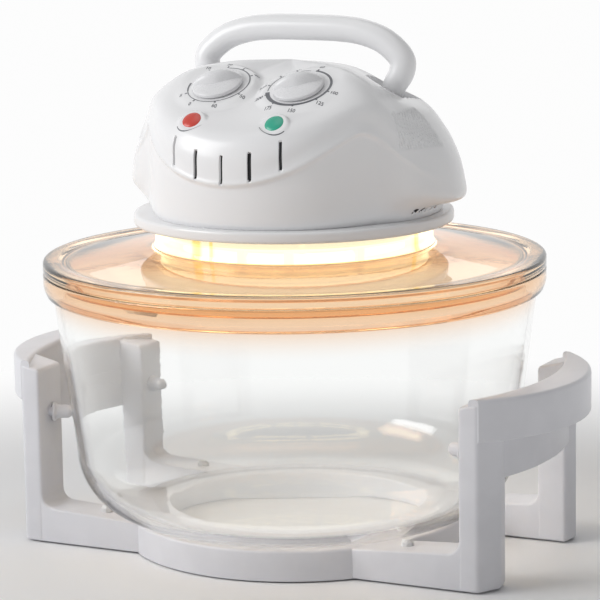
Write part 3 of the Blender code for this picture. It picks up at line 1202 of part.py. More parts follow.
def build_handle():
    """Arch handle with an eye and a switch heel at each foot, and its two pins."""
    pivot = add_empty("handle_pivot", (0.0, PIVOT_Y, PIVOT_Z))
    away = Matrix.Translation((0.0, -PIVOT_Y, -PIVOT_Z))
    across = Vector((0.0, -math.cos(HANDLE_LEAN), math.sin(HANDLE_LEAN)))
    arch = tube(*handle_path(), HANDLE_SIDES, across)
    handle = add_object("arch_handle", place(arch, away), white_plastic("arch_handle"), pivot)
    for label, side in (("right", 1), ("left", -1)):
        centre = Vector((side * (PIVOT_X - EYE_WIDTH / 2), 0.0, 0.0))
        eye = rod(EYE_RADIUS, 0.0, EYE_WIDTH, SMALL_STEPS)
        combine(handle, place(eye, along(centre, (side, 0, 0))), "UNION", f"eye_{label}")
        reach = HEEL_REACH - HEEL_RADIUS
        heel_place = centre + Vector((0.0, reach * math.sin(HANDLE_FOLD), -reach * math.cos(HANDLE_FOLD)))
        heel = rod(HEEL_RADIUS, EYE_WIDTH / 4, EYE_WIDTH * 3 / 4, SMALL_STEPS)
        combine(handle, place(heel, along(heel_place, (side, 0, 0))), "UNION", f"heel_{label}")
        bore = rod(PIN_RADIUS + GAP, -EYE_WIDTH, 2 * EYE_WIDTH)
        combine(handle, place(bore, along(centre, (side, 0, 0))), "DIFFERENCE", f"bore_{label}")
        half = POCKET_HALF_WIDTH + POCKET_WALL * 0.7
        pin = rod(PIN_RADIUS, PIVOT_X - half, PIVOT_X + half)
        add_object(f"handle_pin_{label}", place(pin, along((0.0, PIVOT_Y, PIVOT_Z), (side, 0, 0))),
                   steel("handle_pin"))
    weld(handle)


def build_switch():
    """Safety switch under the left pocket, with the plunger that the handle's heel presses."""
    top = POCKET_FLOOR_Z - POCKET_WALL - GAP
    case = block((-PIVOT_X - SWITCH_WIDTH / 2, -PIVOT_X + SWITCH_WIDTH / 2),
                 (PIVOT_Y - SWITCH_LENGTH / 2, PIVOT_Y + SWITCH_LENGTH / 2), (top - SWITCH_HEIGHT, top))
    switch = add_object("handle_switch", case, finish("switch", (0.12, 0.12, 0.13), 0.5))
    plunger_top = PIVOT_Z - EYE_RADIUS - GAP
    plunger_low = plunger_top - PLUNGER_LENGTH
    at = Matrix.Translation((-PIVOT_X, PIVOT_Y, 0.0))
    well = rod(PLUNGER_RADIUS + GAP, plunger_low - PLUNGER_TRAVEL - GAP, top + OVERRUN)
    combine(switch, place(well, at), "DIFFERENCE", "well")
    add_object("switch_plunger", place(rod(PLUNGER_RADIUS, plunger_low, plunger_top), at),
               finish("plunger", (0.70, 0.12, 0.10), 0.4))


def build_inlet():
    """Mains inlet: a recessed socket with three pins, set in the rear cover."""
    face = COVER_RADIUS * COVER_RADIUS_SHARES[-1][2] + INLET_PROUD
    half_x, half_z = INLET_WIDTH / 2, INLET_HEIGHT / 2
    body = block((-half_x, half_x), (face - INLET_DEPTH, face), (INLET_Z - half_z, INLET_Z + half_z))
    inlet = add_object("mains_inlet", body, finish("inlet", (0.08, 0.08, 0.08), 0.45))
    back = face - INLET_FLANGE_SETBACK
    flange = block((-half_x - INLET_FLANGE, half_x + INLET_FLANGE), (back - INLET_FLANGE_METAL, back),
                   (INLET_Z - half_z - INLET_FLANGE, INLET_Z + half_z + INLET_FLANGE))
    combine(inlet, flange, "UNION", "flange")
    wall = INLET_WALL
    recess = block((-half_x + wall, half_x - wall), (face - INLET_POCKET, face + OVERRUN),
                   (INLET_Z - half_z + wall, INLET_Z + half_z - wall))
    combine(inlet, recess, "DIFFERENCE", "recess")
    for i in (-1, 0, 1):
        pin = rod(INLET_PIN_RADIUS, 0.0, INLET_PIN_LENGTH + OVERRUN, SMALL_STEPS)
        start = (i * INLET_PIN_PITCH, face - INLET_POCKET - OVERRUN, INLET_Z)
        combine(inlet, place(pin, along(start, (0, 1, 0))), "UNION", f"pin_{i + 1}")


def main():
    """Build the whole oven."""
    clear_scene()
    build_stand()
    build_bowl()
    build_lid()
    build_base()
    build_plate()
    build_lamp()
    build_guard()
    build_motor()
    build_covers()
    build_control("timer", -1, TIMER_REST_ANGLE)
    build_control("thermostat", 1, THERMOSTAT_REST_ANGLE)
    build_lens("power_lens", -1, (0.60, 0.05, 0.03))
    build_lens("heat_lens", 1, (0.02, 0.38, 0.25))
    build_handle()
    build_switch()
    build_inlet()


main()
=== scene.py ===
"""Looks of a countertop turbo convection oven: its visible surfaces, finishes, floor, lights and camera.

Lengths are metres in the frame's own axes: +Z up, front at -Y, origin on the bowl's axis at the feet.
Azimuths are degrees from the front, growing towards +X.
"""

import logging
import math
from dataclasses import dataclass, field
from enum import Enum

import bmesh
import bpy
import numpy as np
from mathutils import Matrix


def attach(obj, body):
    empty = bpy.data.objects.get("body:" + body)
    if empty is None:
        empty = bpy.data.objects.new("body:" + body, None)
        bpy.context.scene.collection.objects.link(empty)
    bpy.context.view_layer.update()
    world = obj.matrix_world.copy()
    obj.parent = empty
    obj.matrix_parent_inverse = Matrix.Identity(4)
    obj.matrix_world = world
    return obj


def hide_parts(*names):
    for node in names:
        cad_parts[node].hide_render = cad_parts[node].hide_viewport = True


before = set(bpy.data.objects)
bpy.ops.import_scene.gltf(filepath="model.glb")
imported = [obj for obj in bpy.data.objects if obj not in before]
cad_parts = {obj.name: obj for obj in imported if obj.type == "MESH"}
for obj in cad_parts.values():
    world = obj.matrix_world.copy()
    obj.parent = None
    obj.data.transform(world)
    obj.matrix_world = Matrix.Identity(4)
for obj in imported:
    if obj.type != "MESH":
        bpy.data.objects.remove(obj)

LOG = logging.getLogger("oven")
# Clearance between pieces that meet.
GAP = 0.0003
# Points closer than this are one point.
MERGE = 0.0000005
# Largest share of a side that one rounded corner takes.
ROUND_SHARE = 0.48


class Body(Enum):
    """The bodies that pieces ride on."""

    STAND = "stand"
    BOWL = "bowl"
    HEAD = "head"
    HANDLE = "handle"
    TIMER = "timer_control"
    THERMOSTAT = "thermostat_control"


# Node helpers


def link(tree: bpy.types.NodeTree, source: bpy.types.NodeSocket, target: bpy.types.NodeSocket) -> None:
    """Join two sockets.

    Args:
        tree: the tree that holds both nodes.
        source: an output socket.
        target: an input socket.
    """
    tree.links.new(source, target)


def math_node(tree: bpy.types.NodeTree, operation: str, first, second=None, clamp: bool = False):
    """Add a Math node and return its output.

    Args:
        tree: the tree to add to.
        operation: the node's operation.
        first: a socket or a number.
        second: a socket, a number or None.
        clamp: whether the result is held between 0 and 1.

    Returns:
        The node's output socket.
    """
    node = tree.nodes.new("ShaderNodeMath")
    node.operation = operation
    node.use_clamp = clamp
    for socket, value in zip(node.inputs, (first, second)):
        if value is None:
            continue
        if isinstance(value, bpy.types.NodeSocket):
            tree.links.new(value, socket)
        else:
            socket.default_value = value
    return node.outputs[0]


def ramp_node(tree: bpy.types.NodeTree, value, low: float, high: float, start: float = 0.0, end: float = 1.0):
    """Map a value smoothly from one range to another.

    Args:
        tree: the tree to add to.
        value: the socket to map.
        low: the value where the result is start.
        high: the value where the result is end.
        start: the result at low.
        end: the result at high.

    Returns:
        The result's socket.
    """
    node = tree.nodes.new("ShaderNodeMapRange")
    node.interpolation_type = "SMOOTHSTEP"
    tree.links.new(value, node.inputs["Value"])
    for name, number in (("From Min", low), ("From Max", high), ("To Min", start), ("To Max", end)):
        node.inputs[name].default_value = number
    return node.outputs["Result"]


def mix_colors(tree: bpy.types.NodeTree, factor, first, second):
    """Mix two colours.

    Args:
        tree: the tree to add to.
        factor: the share of the second colour, a socket.
        first: a colour or a socket.
        second: a colour or a socket.

    Returns:
        The mixed colour's socket.
    """
    node = tree.nodes.new("ShaderNodeMix")
    node.data_type = "RGBA"
    tree.links.new(factor, node.inputs["Factor"])
    for name, value in (("A", first), ("B", second)):
        socket = next(s for s in node.inputs if s.name == name and s.type == "RGBA")
        if isinstance(value, bpy.types.NodeSocket):
            tree.links.new(value, socket)
        else:
            socket.default_value = (*value, 1.0)
    return next(s for s in node.outputs if s.type == "RGBA")


def noise_node(tree: bpy.types.NodeTree, vector, scale: float, detail: float = 3.0):
    """Add a Noise Texture node and return its value.

    Args:
        tree: the tree to add to.
        vector: the coordinates' socket.
        scale: features per metre.
        detail: octaves.

    Returns:
        The noise value's socket.
    """
    node = tree.nodes.new("ShaderNodeTexNoise")
    node.inputs["Scale"].default_value = scale
    node.inputs["Detail"].default_value = detail
    tree.links.new(vector, node.inputs["Vector"])
    return node.outputs["Fac"]


def bump_node(tree: bpy.types.NodeTree, height, strength: float, distance: float):
    """Add a Bump node and return its normal.

    Args:
        tree: the tree to add to.
        height: the height's socket.
        strength: share of the full effect.
        distance: height in metres that 1 stands for.

    Returns:
        The normal's socket.
    """
    node = tree.nodes.new("ShaderNodeBump")
    node.inputs["Strength"].default_value = strength
    node.inputs["Distance"].default_value = distance
    tree.links.new(height, node.inputs["Height"])
    return node.outputs["Normal"]


@dataclass(frozen=True)
class SurfaceGroup:
    """A shared node group: fine texture of a surface from its coordinates.

    It gives a patch mask, a roughness offset and a bumped normal.
    """

    name: str
    patch_scale: float
    grain_scale: float
    grain_height: float
    stretch: tuple[float, float, float] = (1.0, 1.0, 1.0)
    patch_low: float = 0.35
    patch_high: float = 0.65
    fine_ratio: float = 4.3
    fine_share: float = 0.35
    grain_middle: float = 0.65
    gloss_swing: float = 0.16
    bump_share: float = 0.6

    def tree(self) -> bpy.types.NodeTree:
        """Build the group once and return it.

        Returns:
            The node group.
        """
        old = bpy.data.node_groups.get(self.name)
        if old:
            return old
        group = bpy.data.node_groups.new(self.name, "ShaderNodeTree")
        group.interface.new_socket("Vector", in_out="INPUT", socket_type="NodeSocketVector")
        for label, kind in (("Patches", "Float"), ("Roughness", "Float"), ("Normal", "Vector")):
            group.interface.new_socket(label, in_out="OUTPUT", socket_type="NodeSocket" + kind)
        inside = group.nodes.new("NodeGroupInput")
        outside = group.nodes.new("NodeGroupOutput")
        scaled = group.nodes.new("ShaderNodeMapping")
        scaled.inputs["Scale"].default_value = self.stretch
        link(group, inside.outputs["Vector"], scaled.inputs["Vector"])
        vector = scaled.outputs["Vector"]
        patches = ramp_node(group, noise_node(group, vector, self.patch_scale), self.patch_low,
                            self.patch_high)
        grain = noise_node(group, vector, self.grain_scale, 2.0)
        fine = noise_node(group, vector, self.grain_scale * self.fine_ratio, 1.0)
        both = math_node(group, "ADD", grain, math_node(group, "MULTIPLY", fine, self.fine_share))
        link(group, patches, outside.inputs["Patches"])
        offset = math_node(group, "SUBTRACT", both, self.grain_middle)
        link(group, math_node(group, "MULTIPLY", offset, self.gloss_swing), outside.inputs["Roughness"])
        link(group, bump_node(group, both, self.bump_share, self.grain_height), outside.inputs["Normal"])
        return group


MOULDED = SurfaceGroup("moulded_surface", 38.0, 900.0, 0.00002)
BRUSHED = SurfaceGroup("rolled_surface", 60.0, 1600.0, 0.00003, (1.0, 1.0, 7.0))
RUBBERY = SurfaceGroup("rubber_surface", 90.0, 2600.0, 0.00004)
CLEAR = SurfaceGroup("glass_surface", 26.0, 70.0, 0.00005)


@dataclass(frozen=True)
class Finish:
    """One procedural material: two colours that its patches mix, and its gloss."""

    name: str
    color: tuple[float, float, float]
    second: tuple[float, float, float]
    roughness: float
    group: SurfaceGroup = MOULDED
    metallic: float = 0.0
    coat: float = 0.0
    specular: float = 0.5
    glow: float = 0.0
    coat_roughness: float = 0.08

    def material(self) -> bpy.types.Material:
        """Build the material once and return it.

        Returns:
            The material.
        """
        old = bpy.data.materials.get(self.name)
        if old:
            return old
        mat = bpy.data.materials.new(self.name)
        mat.use_nodes = True
        tree = mat.node_tree
        shader = tree.nodes["Principled BSDF"]
        place = tree.nodes.new("ShaderNodeTexCoord")
        look = tree.nodes.new("ShaderNodeGroup")
        look.node_tree = self.group.tree()
        link(tree, place.outputs["Object"], look.inputs["Vector"])
        color = mix_colors(tree, look.outputs["Patches"], self.color, self.second)
        link(tree, color, shader.inputs["Base Color"])
        link(tree, math_node(tree, "ADD", look.outputs["Roughness"], self.roughness, clamp=True),
             shader.inputs["Roughness"])
        link(tree, look.outputs["Normal"], shader.inputs["Normal"])
        shader.inputs["Metallic"].default_value = self.metallic
        shader.inputs["Coat Weight"].default_value = self.coat
        shader.inputs["Coat Roughness"].default_value = self.coat_roughness
        shader.inputs["Specular IOR Level"].default_value = self.specular
        if self.glow:
            shader.inputs["Emission Color"].default_value = (*self.color, 1.0)
            shader.inputs["Emission Strength"].default_value = self.glow
        return mat


@dataclass(frozen=True)
class GlassFinish:
    """Clear oven glass with painted lamp light: an amber colour painted on its thick rim stands in for the
    lamp's glow, and its collar is painted to glow as if lit by the lamp.
    """

    name: str
    tint: tuple[float, float, float] = (0.985, 0.99, 0.985)
    # Painted glow: amber painted into the glass between two heights near the rim, standing in for the lamp's
    # light seen in the thick glass.
    painted_rim_glow: tuple[float, float, float] = (0.90, 0.56, 0.30)
    rim_glow_low: float = 0.150
    rim_glow_high: float = 0.185
    # Painted glow: the lid's collar glass gives off light in these colours though it is no lamp.
    glow: tuple[float, float, float] = (1.0, 0.90, 0.62)
    glow_deep: tuple[float, float, float] = (1.0, 0.72, 0.22)
    glow_strength: float = 0.0
    glow_low: float = 0.1975
    glow_high: float = 0.2146
    glow_inner: float = 0.0862
    glow_outer: float = 0.0920
    bar_azimuths: tuple[float, ...] = (-16.5, -8.8, 85.5)
    bar_widths: tuple[float, ...] = (3.4, 1.2, 2.6)
    bar_core: float = 0.4
    soft_height: float = 0.0006
    soft_radius: float = 0.0004
    deep_below: float = 0.0022
    deep_above: float = 0.0025
    deep_share: float = 0.8
    # Dark base colour under the painted glow, so that the painted light shows.
    collar: tuple[float, float, float] = (0.30, 0.24, 0.12)
    shadow: tuple[float, float, float] = (0.93, 0.93, 0.93)
    roughness: float = 0.015
    index: float = 1.47

    def glow_mask(self, tree: bpy.types.NodeTree, parts: bpy.types.Node, radius) -> tuple:
        """Where the collar's painted glow shows, and how deep its colour is.

        Args:
            tree: the material's tree.
            parts: the Separate XYZ node of the object coordinates.
            radius: the plan radius's socket.

        Returns:
            The glow's mask and the deep colour's share, as sockets.
        """
        up = parts.outputs["Z"]
        low = ramp_node(tree, up, self.glow_low, self.glow_low + self.soft_height)
        high = ramp_node(tree, up, self.glow_high - self.soft_height, self.glow_high, 1.0, 0.0)
        inner = ramp_node(tree, radius, self.glow_inner - self.soft_radius, self.glow_inner)
        outer = ramp_node(tree, radius, self.glow_outer, self.glow_outer + self.soft_radius, 1.0, 0.0)
        mask = math_node(tree, "MULTIPLY", math_node(tree, "MULTIPLY", low, high),
                         math_node(tree, "MULTIPLY", inner, outer))
        below = ramp_node(tree, up, self.glow_low, self.glow_low + self.deep_below, 1.0, 0.0)
        above = ramp_node(tree, up, self.glow_high - self.deep_above, self.glow_high)
        edge = math_node(tree, "ADD", below, above, clamp=True)
        front = math_node(tree, "MULTIPLY", parts.outputs["Y"], -1.0)
        turn = math_node(tree, "ARCTAN2", parts.outputs["X"], front)
        degrees = math_node(tree, "DEGREES", turn)
        deep = math_node(tree, "MULTIPLY", edge, self.deep_share)
        # Bars of deeper painted glow at set azimuths.
        for azimuth, width in zip(self.bar_azimuths, self.bar_widths):
            away = math_node(tree, "ABSOLUTE", math_node(tree, "SUBTRACT", degrees, azimuth))
            bar = ramp_node(tree, away, width * self.bar_core, width, 1.0, 0.0)
            deep = math_node(tree, "MAXIMUM", deep, bar)
        return mask, deep

    def material(self) -> bpy.types.Material:
        """Build the glass once and return it.

        Returns:
            The material.
        """
        old = bpy.data.materials.get(self.name)
        if old:
            return old
        mat = bpy.data.materials.new(self.name)
        mat.use_nodes = True
        tree = mat.node_tree
        shader = tree.nodes["Principled BSDF"]
        output = tree.nodes["Material Output"]
        place = tree.nodes.new("ShaderNodeTexCoord")
        parts = tree.nodes.new("ShaderNodeSeparateXYZ")
        link(tree, place.outputs["Object"], parts.inputs[0])
        look = tree.nodes.new("ShaderNodeGroup")
        look.node_tree = CLEAR.tree()
        link(tree, place.outputs["Object"], look.inputs["Vector"])
        # Painted glow: the base colour turns amber towards the top of the glass, standing in for the lamp's
        # light.
        painted_rim_glow = ramp_node(tree, parts.outputs["Z"], self.rim_glow_low, self.rim_glow_high)
        body = mix_colors(tree, painted_rim_glow, self.tint, self.painted_rim_glow)
        link(tree, look.outputs["Normal"], shader.inputs["Normal"])
        shader.inputs["Roughness"].default_value = self.roughness
        shader.inputs["IOR"].default_value = self.index
        shader.inputs["Transmission Weight"].default_value = 1.0
        # Painted glow: the collar's glass emits light over the dark base colour.
        if self.glow_strength:
            across = math_node(tree, "MULTIPLY", parts.outputs["X"], parts.outputs["X"])
            along = math_node(tree, "MULTIPLY", parts.outputs["Y"], parts.outputs["Y"])
            radius = math_node(tree, "SQRT", math_node(tree, "ADD", across, along))
            mask, deep = self.glow_mask(tree, parts, radius)
            link(tree, mix_colors(tree, deep, self.glow, self.glow_deep), shader.inputs["Emission Color"])
            strength = math_node(tree, "MULTIPLY", mask, self.glow_strength)
            link(tree, strength, shader.inputs["Emission Strength"])
            body = mix_colors(tree, mask, body, self.collar)
        link(tree, body, shader.inputs["Base Color"])
        rays = tree.nodes.new("ShaderNodeLightPath")
        clear = tree.nodes.new("ShaderNodeBsdfTransparent")
        clear.inputs["Color"].default_value = (*self.shadow, 1.0)
        mix = tree.nodes.new("ShaderNodeMixShader")
        link(tree, rays.outputs["Is Shadow Ray"], mix.inputs["Fac"])
        link(tree, shader.outputs["BSDF"], mix.inputs[1])
        link(tree, clear.outputs["BSDF"], mix.inputs[2])
        link(tree, mix.outputs["Shader"], output.inputs["Surface"])
        return mat


WHITE = Finish("white_plastic", (0.76, 0.76, 0.785), (0.725, 0.725, 0.755), 0.30, coat=0.12, specular=0.35)
STAND_WHITE = Finish("stand_plastic", (0.74, 0.74, 0.775), (0.71, 0.71, 0.745), 0.34, coat=0.08,
                     specular=0.35)
KNOB_WHITE = Finish("knob_plastic", (0.80, 0.80, 0.815), (0.775, 0.775, 0.79), 0.28, coat=0.15, specular=0.35)
# Painted shade: the covers have no real holes, so this near-black stands in for the shade inside the slots,
# vents and inlet.
OPENING_SHADE = Finish("painted_opening_shade", (0.035, 0.036, 0.040), (0.025, 0.025, 0.028), 0.6)
PRINT = Finish("printed_mark", (0.16, 0.165, 0.18), (0.12, 0.125, 0.14), 0.5)
STEEL = Finish("sheet_steel", (0.66, 0.65, 0.63), (0.58, 0.56, 0.54), 0.26, BRUSHED, metallic=1.0)
WARM_STEEL = Finish("guard_steel", (0.86, 0.80, 0.76), (0.80, 0.70, 0.64), 0.22, BRUSHED, metallic=1.0)
BLACK = Finish("black_plastic", (0.045, 0.045, 0.048), (0.03, 0.03, 0.033), 0.45)
GREY = Finish("grey_plastic", (0.20, 0.20, 0.21), (0.16, 0.16, 0.17), 0.5)
CERAMIC = Finish("ceramic", (0.80, 0.77, 0.70), (0.74, 0.70, 0.62), 0.55, RUBBERY)
SILICONE = Finish("silicone", (0.72, 0.70, 0.66), (0.66, 0.63, 0.58), 0.5, RUBBERY)
RUBBER = Finish("rubber", (0.55, 0.55, 0.56), (0.48, 0.48, 0.49), 0.75, RUBBERY)
BRASS = Finish("brass", (0.80, 0.62, 0.33), (0.70, 0.52, 0.26), 0.3, BRUSHED, metallic=1.0)
LAMP = Finish("lamp_quartz", (1.0, 0.84, 0.52), (1.0, 0.72, 0.36), 0.2, glow=3.0)
RED_LENS = Finish("red_lens", (0.30, 0.008, 0.002), (0.42, 0.02, 0.004), 0.35, specular=0.10)
GREEN_LENS = Finish("green_lens", (0.0, 0.060, 0.045), (0.001, 0.10, 0.075), 0.35, specular=0.10)
RED_PLUNGER = Finish("red_plastic", (0.55, 0.06, 0.05), (0.46, 0.05, 0.04), 0.4)
BOWL_GLASS = GlassFinish("bowl_glass")
# Painted glow: the lid's amber tint and its amber rim stand in for the lamp's light shining through the
# glass.
LID_GLASS = GlassFinish("lid_glass", tint=(0.93, 0.74, 0.56), painted_rim_glow=(0.93, 0.66, 0.42), rim_glow_low=0.176,
                        rim_glow_high=0.186,
                        glow_strength=0.95)


# Surface helpers


@dataclass
class Skin:
    """A mesh gathered from grids of points and written in whole arrays."""

    name: str
    points: list[np.ndarray] = field(default_factory=list)
    quads: list[np.ndarray] = field(default_factory=list)
    triangles: list[np.ndarray] = field(default_factory=list)
    plates: list[np.ndarray] = field(default_factory=list)
    marks: list[np.ndarray] = field(default_factory=list)
    count: int = 0

    def grid(self, points: np.ndarray, wrap: bool = True, loop: bool = False, cap: bool = False,
             marks: np.ndarray | None = None) -> None:
        """Add a grid: quad (i, j) joins rows i and i + 1, and columns j and j + 1 or the first.

        Args:
            points: rows x columns x 3 positions.
            wrap: whether the last column joins the first.
            loop: whether the last row joins the first.
            cap: whether the first and last rows are closed by one flat face each.
            marks: rows x columns numbers above 0.5 where the second finish shows, or None.
        """
        rows, columns = points.shape[:2]
        index = np.arange(rows * columns).reshape(rows, columns) + self.count
        right = np.roll(index, -1, axis=1)
        up = np.roll(index, -1, axis=0)
        corner = np.roll(up, -1, axis=1)
        last_row = rows if loop else rows - 1
        last_column = columns if wrap else columns - 1
        quads = np.stack([index, right, corner, up], axis=-1)[:last_row, :last_column].reshape(-1, 4)
        self.points.append(points.reshape(-1, 3))
        self.quads.append(quads)
        if marks is None:
            self.marks.append(np.zeros(len(quads), dtype=np.int32))
        else:
            flat = marks.reshape(-1)
            self.marks.append((flat[quads - self.count].mean(axis=1) > 0.5).astype(np.int32))
        self.count += rows * columns
        if cap:
            self.plates += [index[0][::-1], index[-1]]

    def build(self, finishes: list, body: Body, replaces: tuple[str, ...] = (), sharp: float = 38.0,
              slot: str | None = None) -> bpy.types.Object:
        """Write the mesh, give it its finishes and let it ride on its body.

        Args:
            finishes: its finishes; marked faces take the second.
            body: the body that it moves with.
            replaces: the CAD nodes that it stands for.
            sharp: edges over this many degrees stay sharp.
            slot: the record's material slot; not used.

        Returns:
            The new object.
        """
        mesh = bpy.data.meshes.new(self.name)
        verts = np.concatenate(self.points).astype(np.float32)
        quads = np.concatenate(self.quads) if self.quads else np.zeros((0, 4), dtype=np.int64)
        triangles = np.concatenate(self.triangles) if self.triangles else np.zeros((0, 3), dtype=np.int64)
        sizes = np.concatenate([np.full(len(quads), 4), np.full(len(triangles), 3),
                                np.array([len(plate) for plate in self.plates], dtype=int)]).astype(np.int32)
        loops = np.concatenate([quads.ravel(), triangles.ravel()] + self.plates).astype(np.int32)
        starts = (np.cumsum(sizes) - sizes).astype(np.int32)
        marks = np.zeros(len(sizes), dtype=np.int32)
        marks[:len(quads)] = np.concatenate(self.marks) if self.marks else 0
        mesh.vertices.add(len(verts))
        mesh.vertices.foreach_set("co", verts.ravel())
        mesh.loops.add(len(loops))
        mesh.loops.foreach_set("vertex_index", loops)
        mesh.polygons.add(len(starts))
        mesh.polygons.foreach_set("loop_start", starts)
        mesh.polygons.foreach_set("material_index", marks)
        mesh.update(calc_edges=True)
        mesh.validate()
        outward(mesh)
        mesh.shade_smooth()
        mesh.set_sharp_from_angle(angle=math.radians(sharp))
        for finish in finishes:
            mesh.materials.append(finish.material())
        obj = bpy.data.objects.new(self.name, mesh)
        bpy.context.scene.collection.objects.link(obj)
        if replaces:
            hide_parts(*replaces)
        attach(obj, body.value)
        LOG.info("%s: %d faces on %s", self.name, len(starts), body.value)
        return obj


def outward(mesh: bpy.types.Mesh) -> None:
    """Turn a mesh's faces to face out.

    Args:
        mesh: the mesh to change.
    """
    bm = bmesh.new()
    bm.from_mesh(mesh)
    bmesh.ops.remove_doubles(bm, verts=bm.verts, dist=MERGE)
    bmesh.ops.recalc_face_normals(bm, faces=bm.faces)
    bm.to_mesh(mesh)
    bm.free()


def rounded(corners, radius: float | list[float], steps: int = 5, closed: bool = True) -> np.ndarray:
    """Round a polyline's corners: each becomes a curve (1 - u)^2 a + u^2 b, a radius long each way.

    Args:
        corners: (a, b) points.
        radius: one radius, or one for each corner.
        steps: pieces of each curve.
        closed: whether the last point joins the first.

    Returns:
        The rounded points.
    """
    corners = np.asarray(corners, dtype=float)
    count = len(corners)
    radii = np.full(count, radius) if np.isscalar(radius) else np.asarray(radius, dtype=float)
    out = []
    for i, corner in enumerate(corners):
        if radii[i] <= 0 or (not closed and i in (0, count - 1)):
            out.append(corner[None, :])
            continue
        before = corners[i - 1] - corner
        after = corners[(i + 1) % count] - corner
        reach_before = min(radii[i] / np.linalg.norm(before), ROUND_SHARE)
        reach_after = min(radii[i] / np.linalg.norm(after), ROUND_SHARE)
        u = np.linspace(0.0, 1.0, steps + 1)[:, None]
        out.append(corner + (1 - u) ** 2 * before * reach_before + u**2 * after * reach_after)
    return np.concatenate(out)


def lathe(profile: np.ndarray, steps: int = 224) -> np.ndarray:
    """Turn (radius, height) points about Z: x = r sin a, y = -r cos a, z = h.

    Args:
        profile: the outline's points.
        steps: columns round the axis.

    Returns:
        Rows x columns x 3 positions.
    """
    angle = np.linspace(0.0, 2 * math.pi, steps, endpoint=False)
    radius = profile[:, 0][:, None]
    height = np.broadcast_to(profile[:, 1][:, None], (len(profile), steps))
    return np.stack([radius * np.sin(angle), -radius * np.cos(angle), height], axis=-1)


def stand_up(points: np.ndarray, origin, direction, turn: float = 0.0) -> np.ndarray:
    """Turn points about Z, stand their Z axis along a direction and move them to an origin.

    Args:
        points: positions drawn round Z.
        origin: where their origin goes.
        direction: where their Z axis points.
        turn: the first turn about Z in radians.

    Returns:
        The placed positions.
    """
    up = np.asarray(direction, dtype=float)
    up = up / np.linalg.norm(up)
    side = np.cross([0.0, 1.0, 0.0], up)
    side = np.array([1.0, 0.0, 0.0]) if np.linalg.norm(side) < 1e-6 else side / np.linalg.norm(side)
    ahead = np.cross(up, side)
    c, s = math.cos(turn), math.sin(turn)
    x = points[..., 0] * c - points[..., 1] * s
    y = points[..., 0] * s + points[..., 1] * c
    return np.asarray(origin) + x[..., None] * side + y[..., None] * ahead + points[..., 2][..., None] * up


def outline_normals(outline: np.ndarray) -> np.ndarray:
    """Unit outward normals of a closed outline that runs anticlockwise.

    Args:
        outline: the points.

    Returns:
        One normal for each point.
    """
    ahead = np.roll(outline, -1, axis=0) - outline
    ahead = ahead / np.maximum(np.linalg.norm(ahead, axis=1, keepdims=True), 1e-9)
    slope = ahead + np.roll(ahead, 1, axis=0)
    slope = slope / np.maximum(np.linalg.norm(slope, axis=1, keepdims=True), 1e-9)
    return np.stack([slope[:, 1], -slope[:, 0]], axis=-1)


def slab(outline: np.ndarray, low: float, high: float, edge: float, steps: int = 4) -> np.ndarray:
    """Raise a closed outline to a slab with rounded rims of inset e (1 - cos a) and height e (1 - sin a).

    Args:
        outline: anticlockwise plan points.
        low: the lower face's height.
        high: the upper face's height.
        edge: the rims' radius.
        steps: pieces of each rim.

    Returns:
        Rows x columns x 3 positions, to be capped.
    """
    normals = outline_normals(outline)
    angles = np.linspace(0.0, math.pi / 2, steps + 1)
    insets = edge * (1 - np.cos(angles))
    rises = edge * (1 - np.sin(angles))
    levels = [(inset, low + rise) for inset, rise in zip(insets[::-1], rises[::-1])]
    levels += [(inset, high - rise) for inset, rise in zip(insets, rises)]
    rows = []
    for inset, height in levels:
        plan = outline - normals * inset
        rows.append(np.column_stack([plan, np.full(len(plan), height)]))
    return np.stack(rows)


def eased(u: np.ndarray) -> np.ndarray:
    """The smooth step u^2 (3 - 2 u) of a share between 0 and 1."""
    return u * u * (3 - 2 * u)


def cubic(u: np.ndarray, first, last, first_slope, last_slope):
    """The cubic with given ends and end slopes: (2u^3 - 3u^2 + 1) a + (u^3 - 2u^2 + u) p + the same from b.

    Args:
        u: shares of the span, 0 to 1.
        first: the values at 0.
        last: the values at 1.
        first_slope: the slopes at 0, over the span.
        last_slope: the slopes at 1, over the span.

    Returns:
        The values at u.
    """
    return ((2 * u**3 - 3 * u**2 + 1) * first + (u**3 - 2 * u**2 + u) * first_slope
            + (3 * u**2 - 2 * u**3) * last + (u**3 - u**2) * last_slope)


def soft_box(value: np.ndarray, low: float, high: float, soft: float) -> np.ndarray:
    """A smooth 0 to 1 mask that is 1 between two values.

    Args:
        value: where to read it.
        low: the lower end.
        high: the upper end.
        soft: the width of each flank, centred on its end.

    Returns:
        The mask.
    """
    up = np.clip((value - low) / soft + 0.5, 0.0, 1.0)
    down = np.clip((high - value) / soft + 0.5, 0.0, 1.0)
    return eased(up) * eased(down)


# Stand


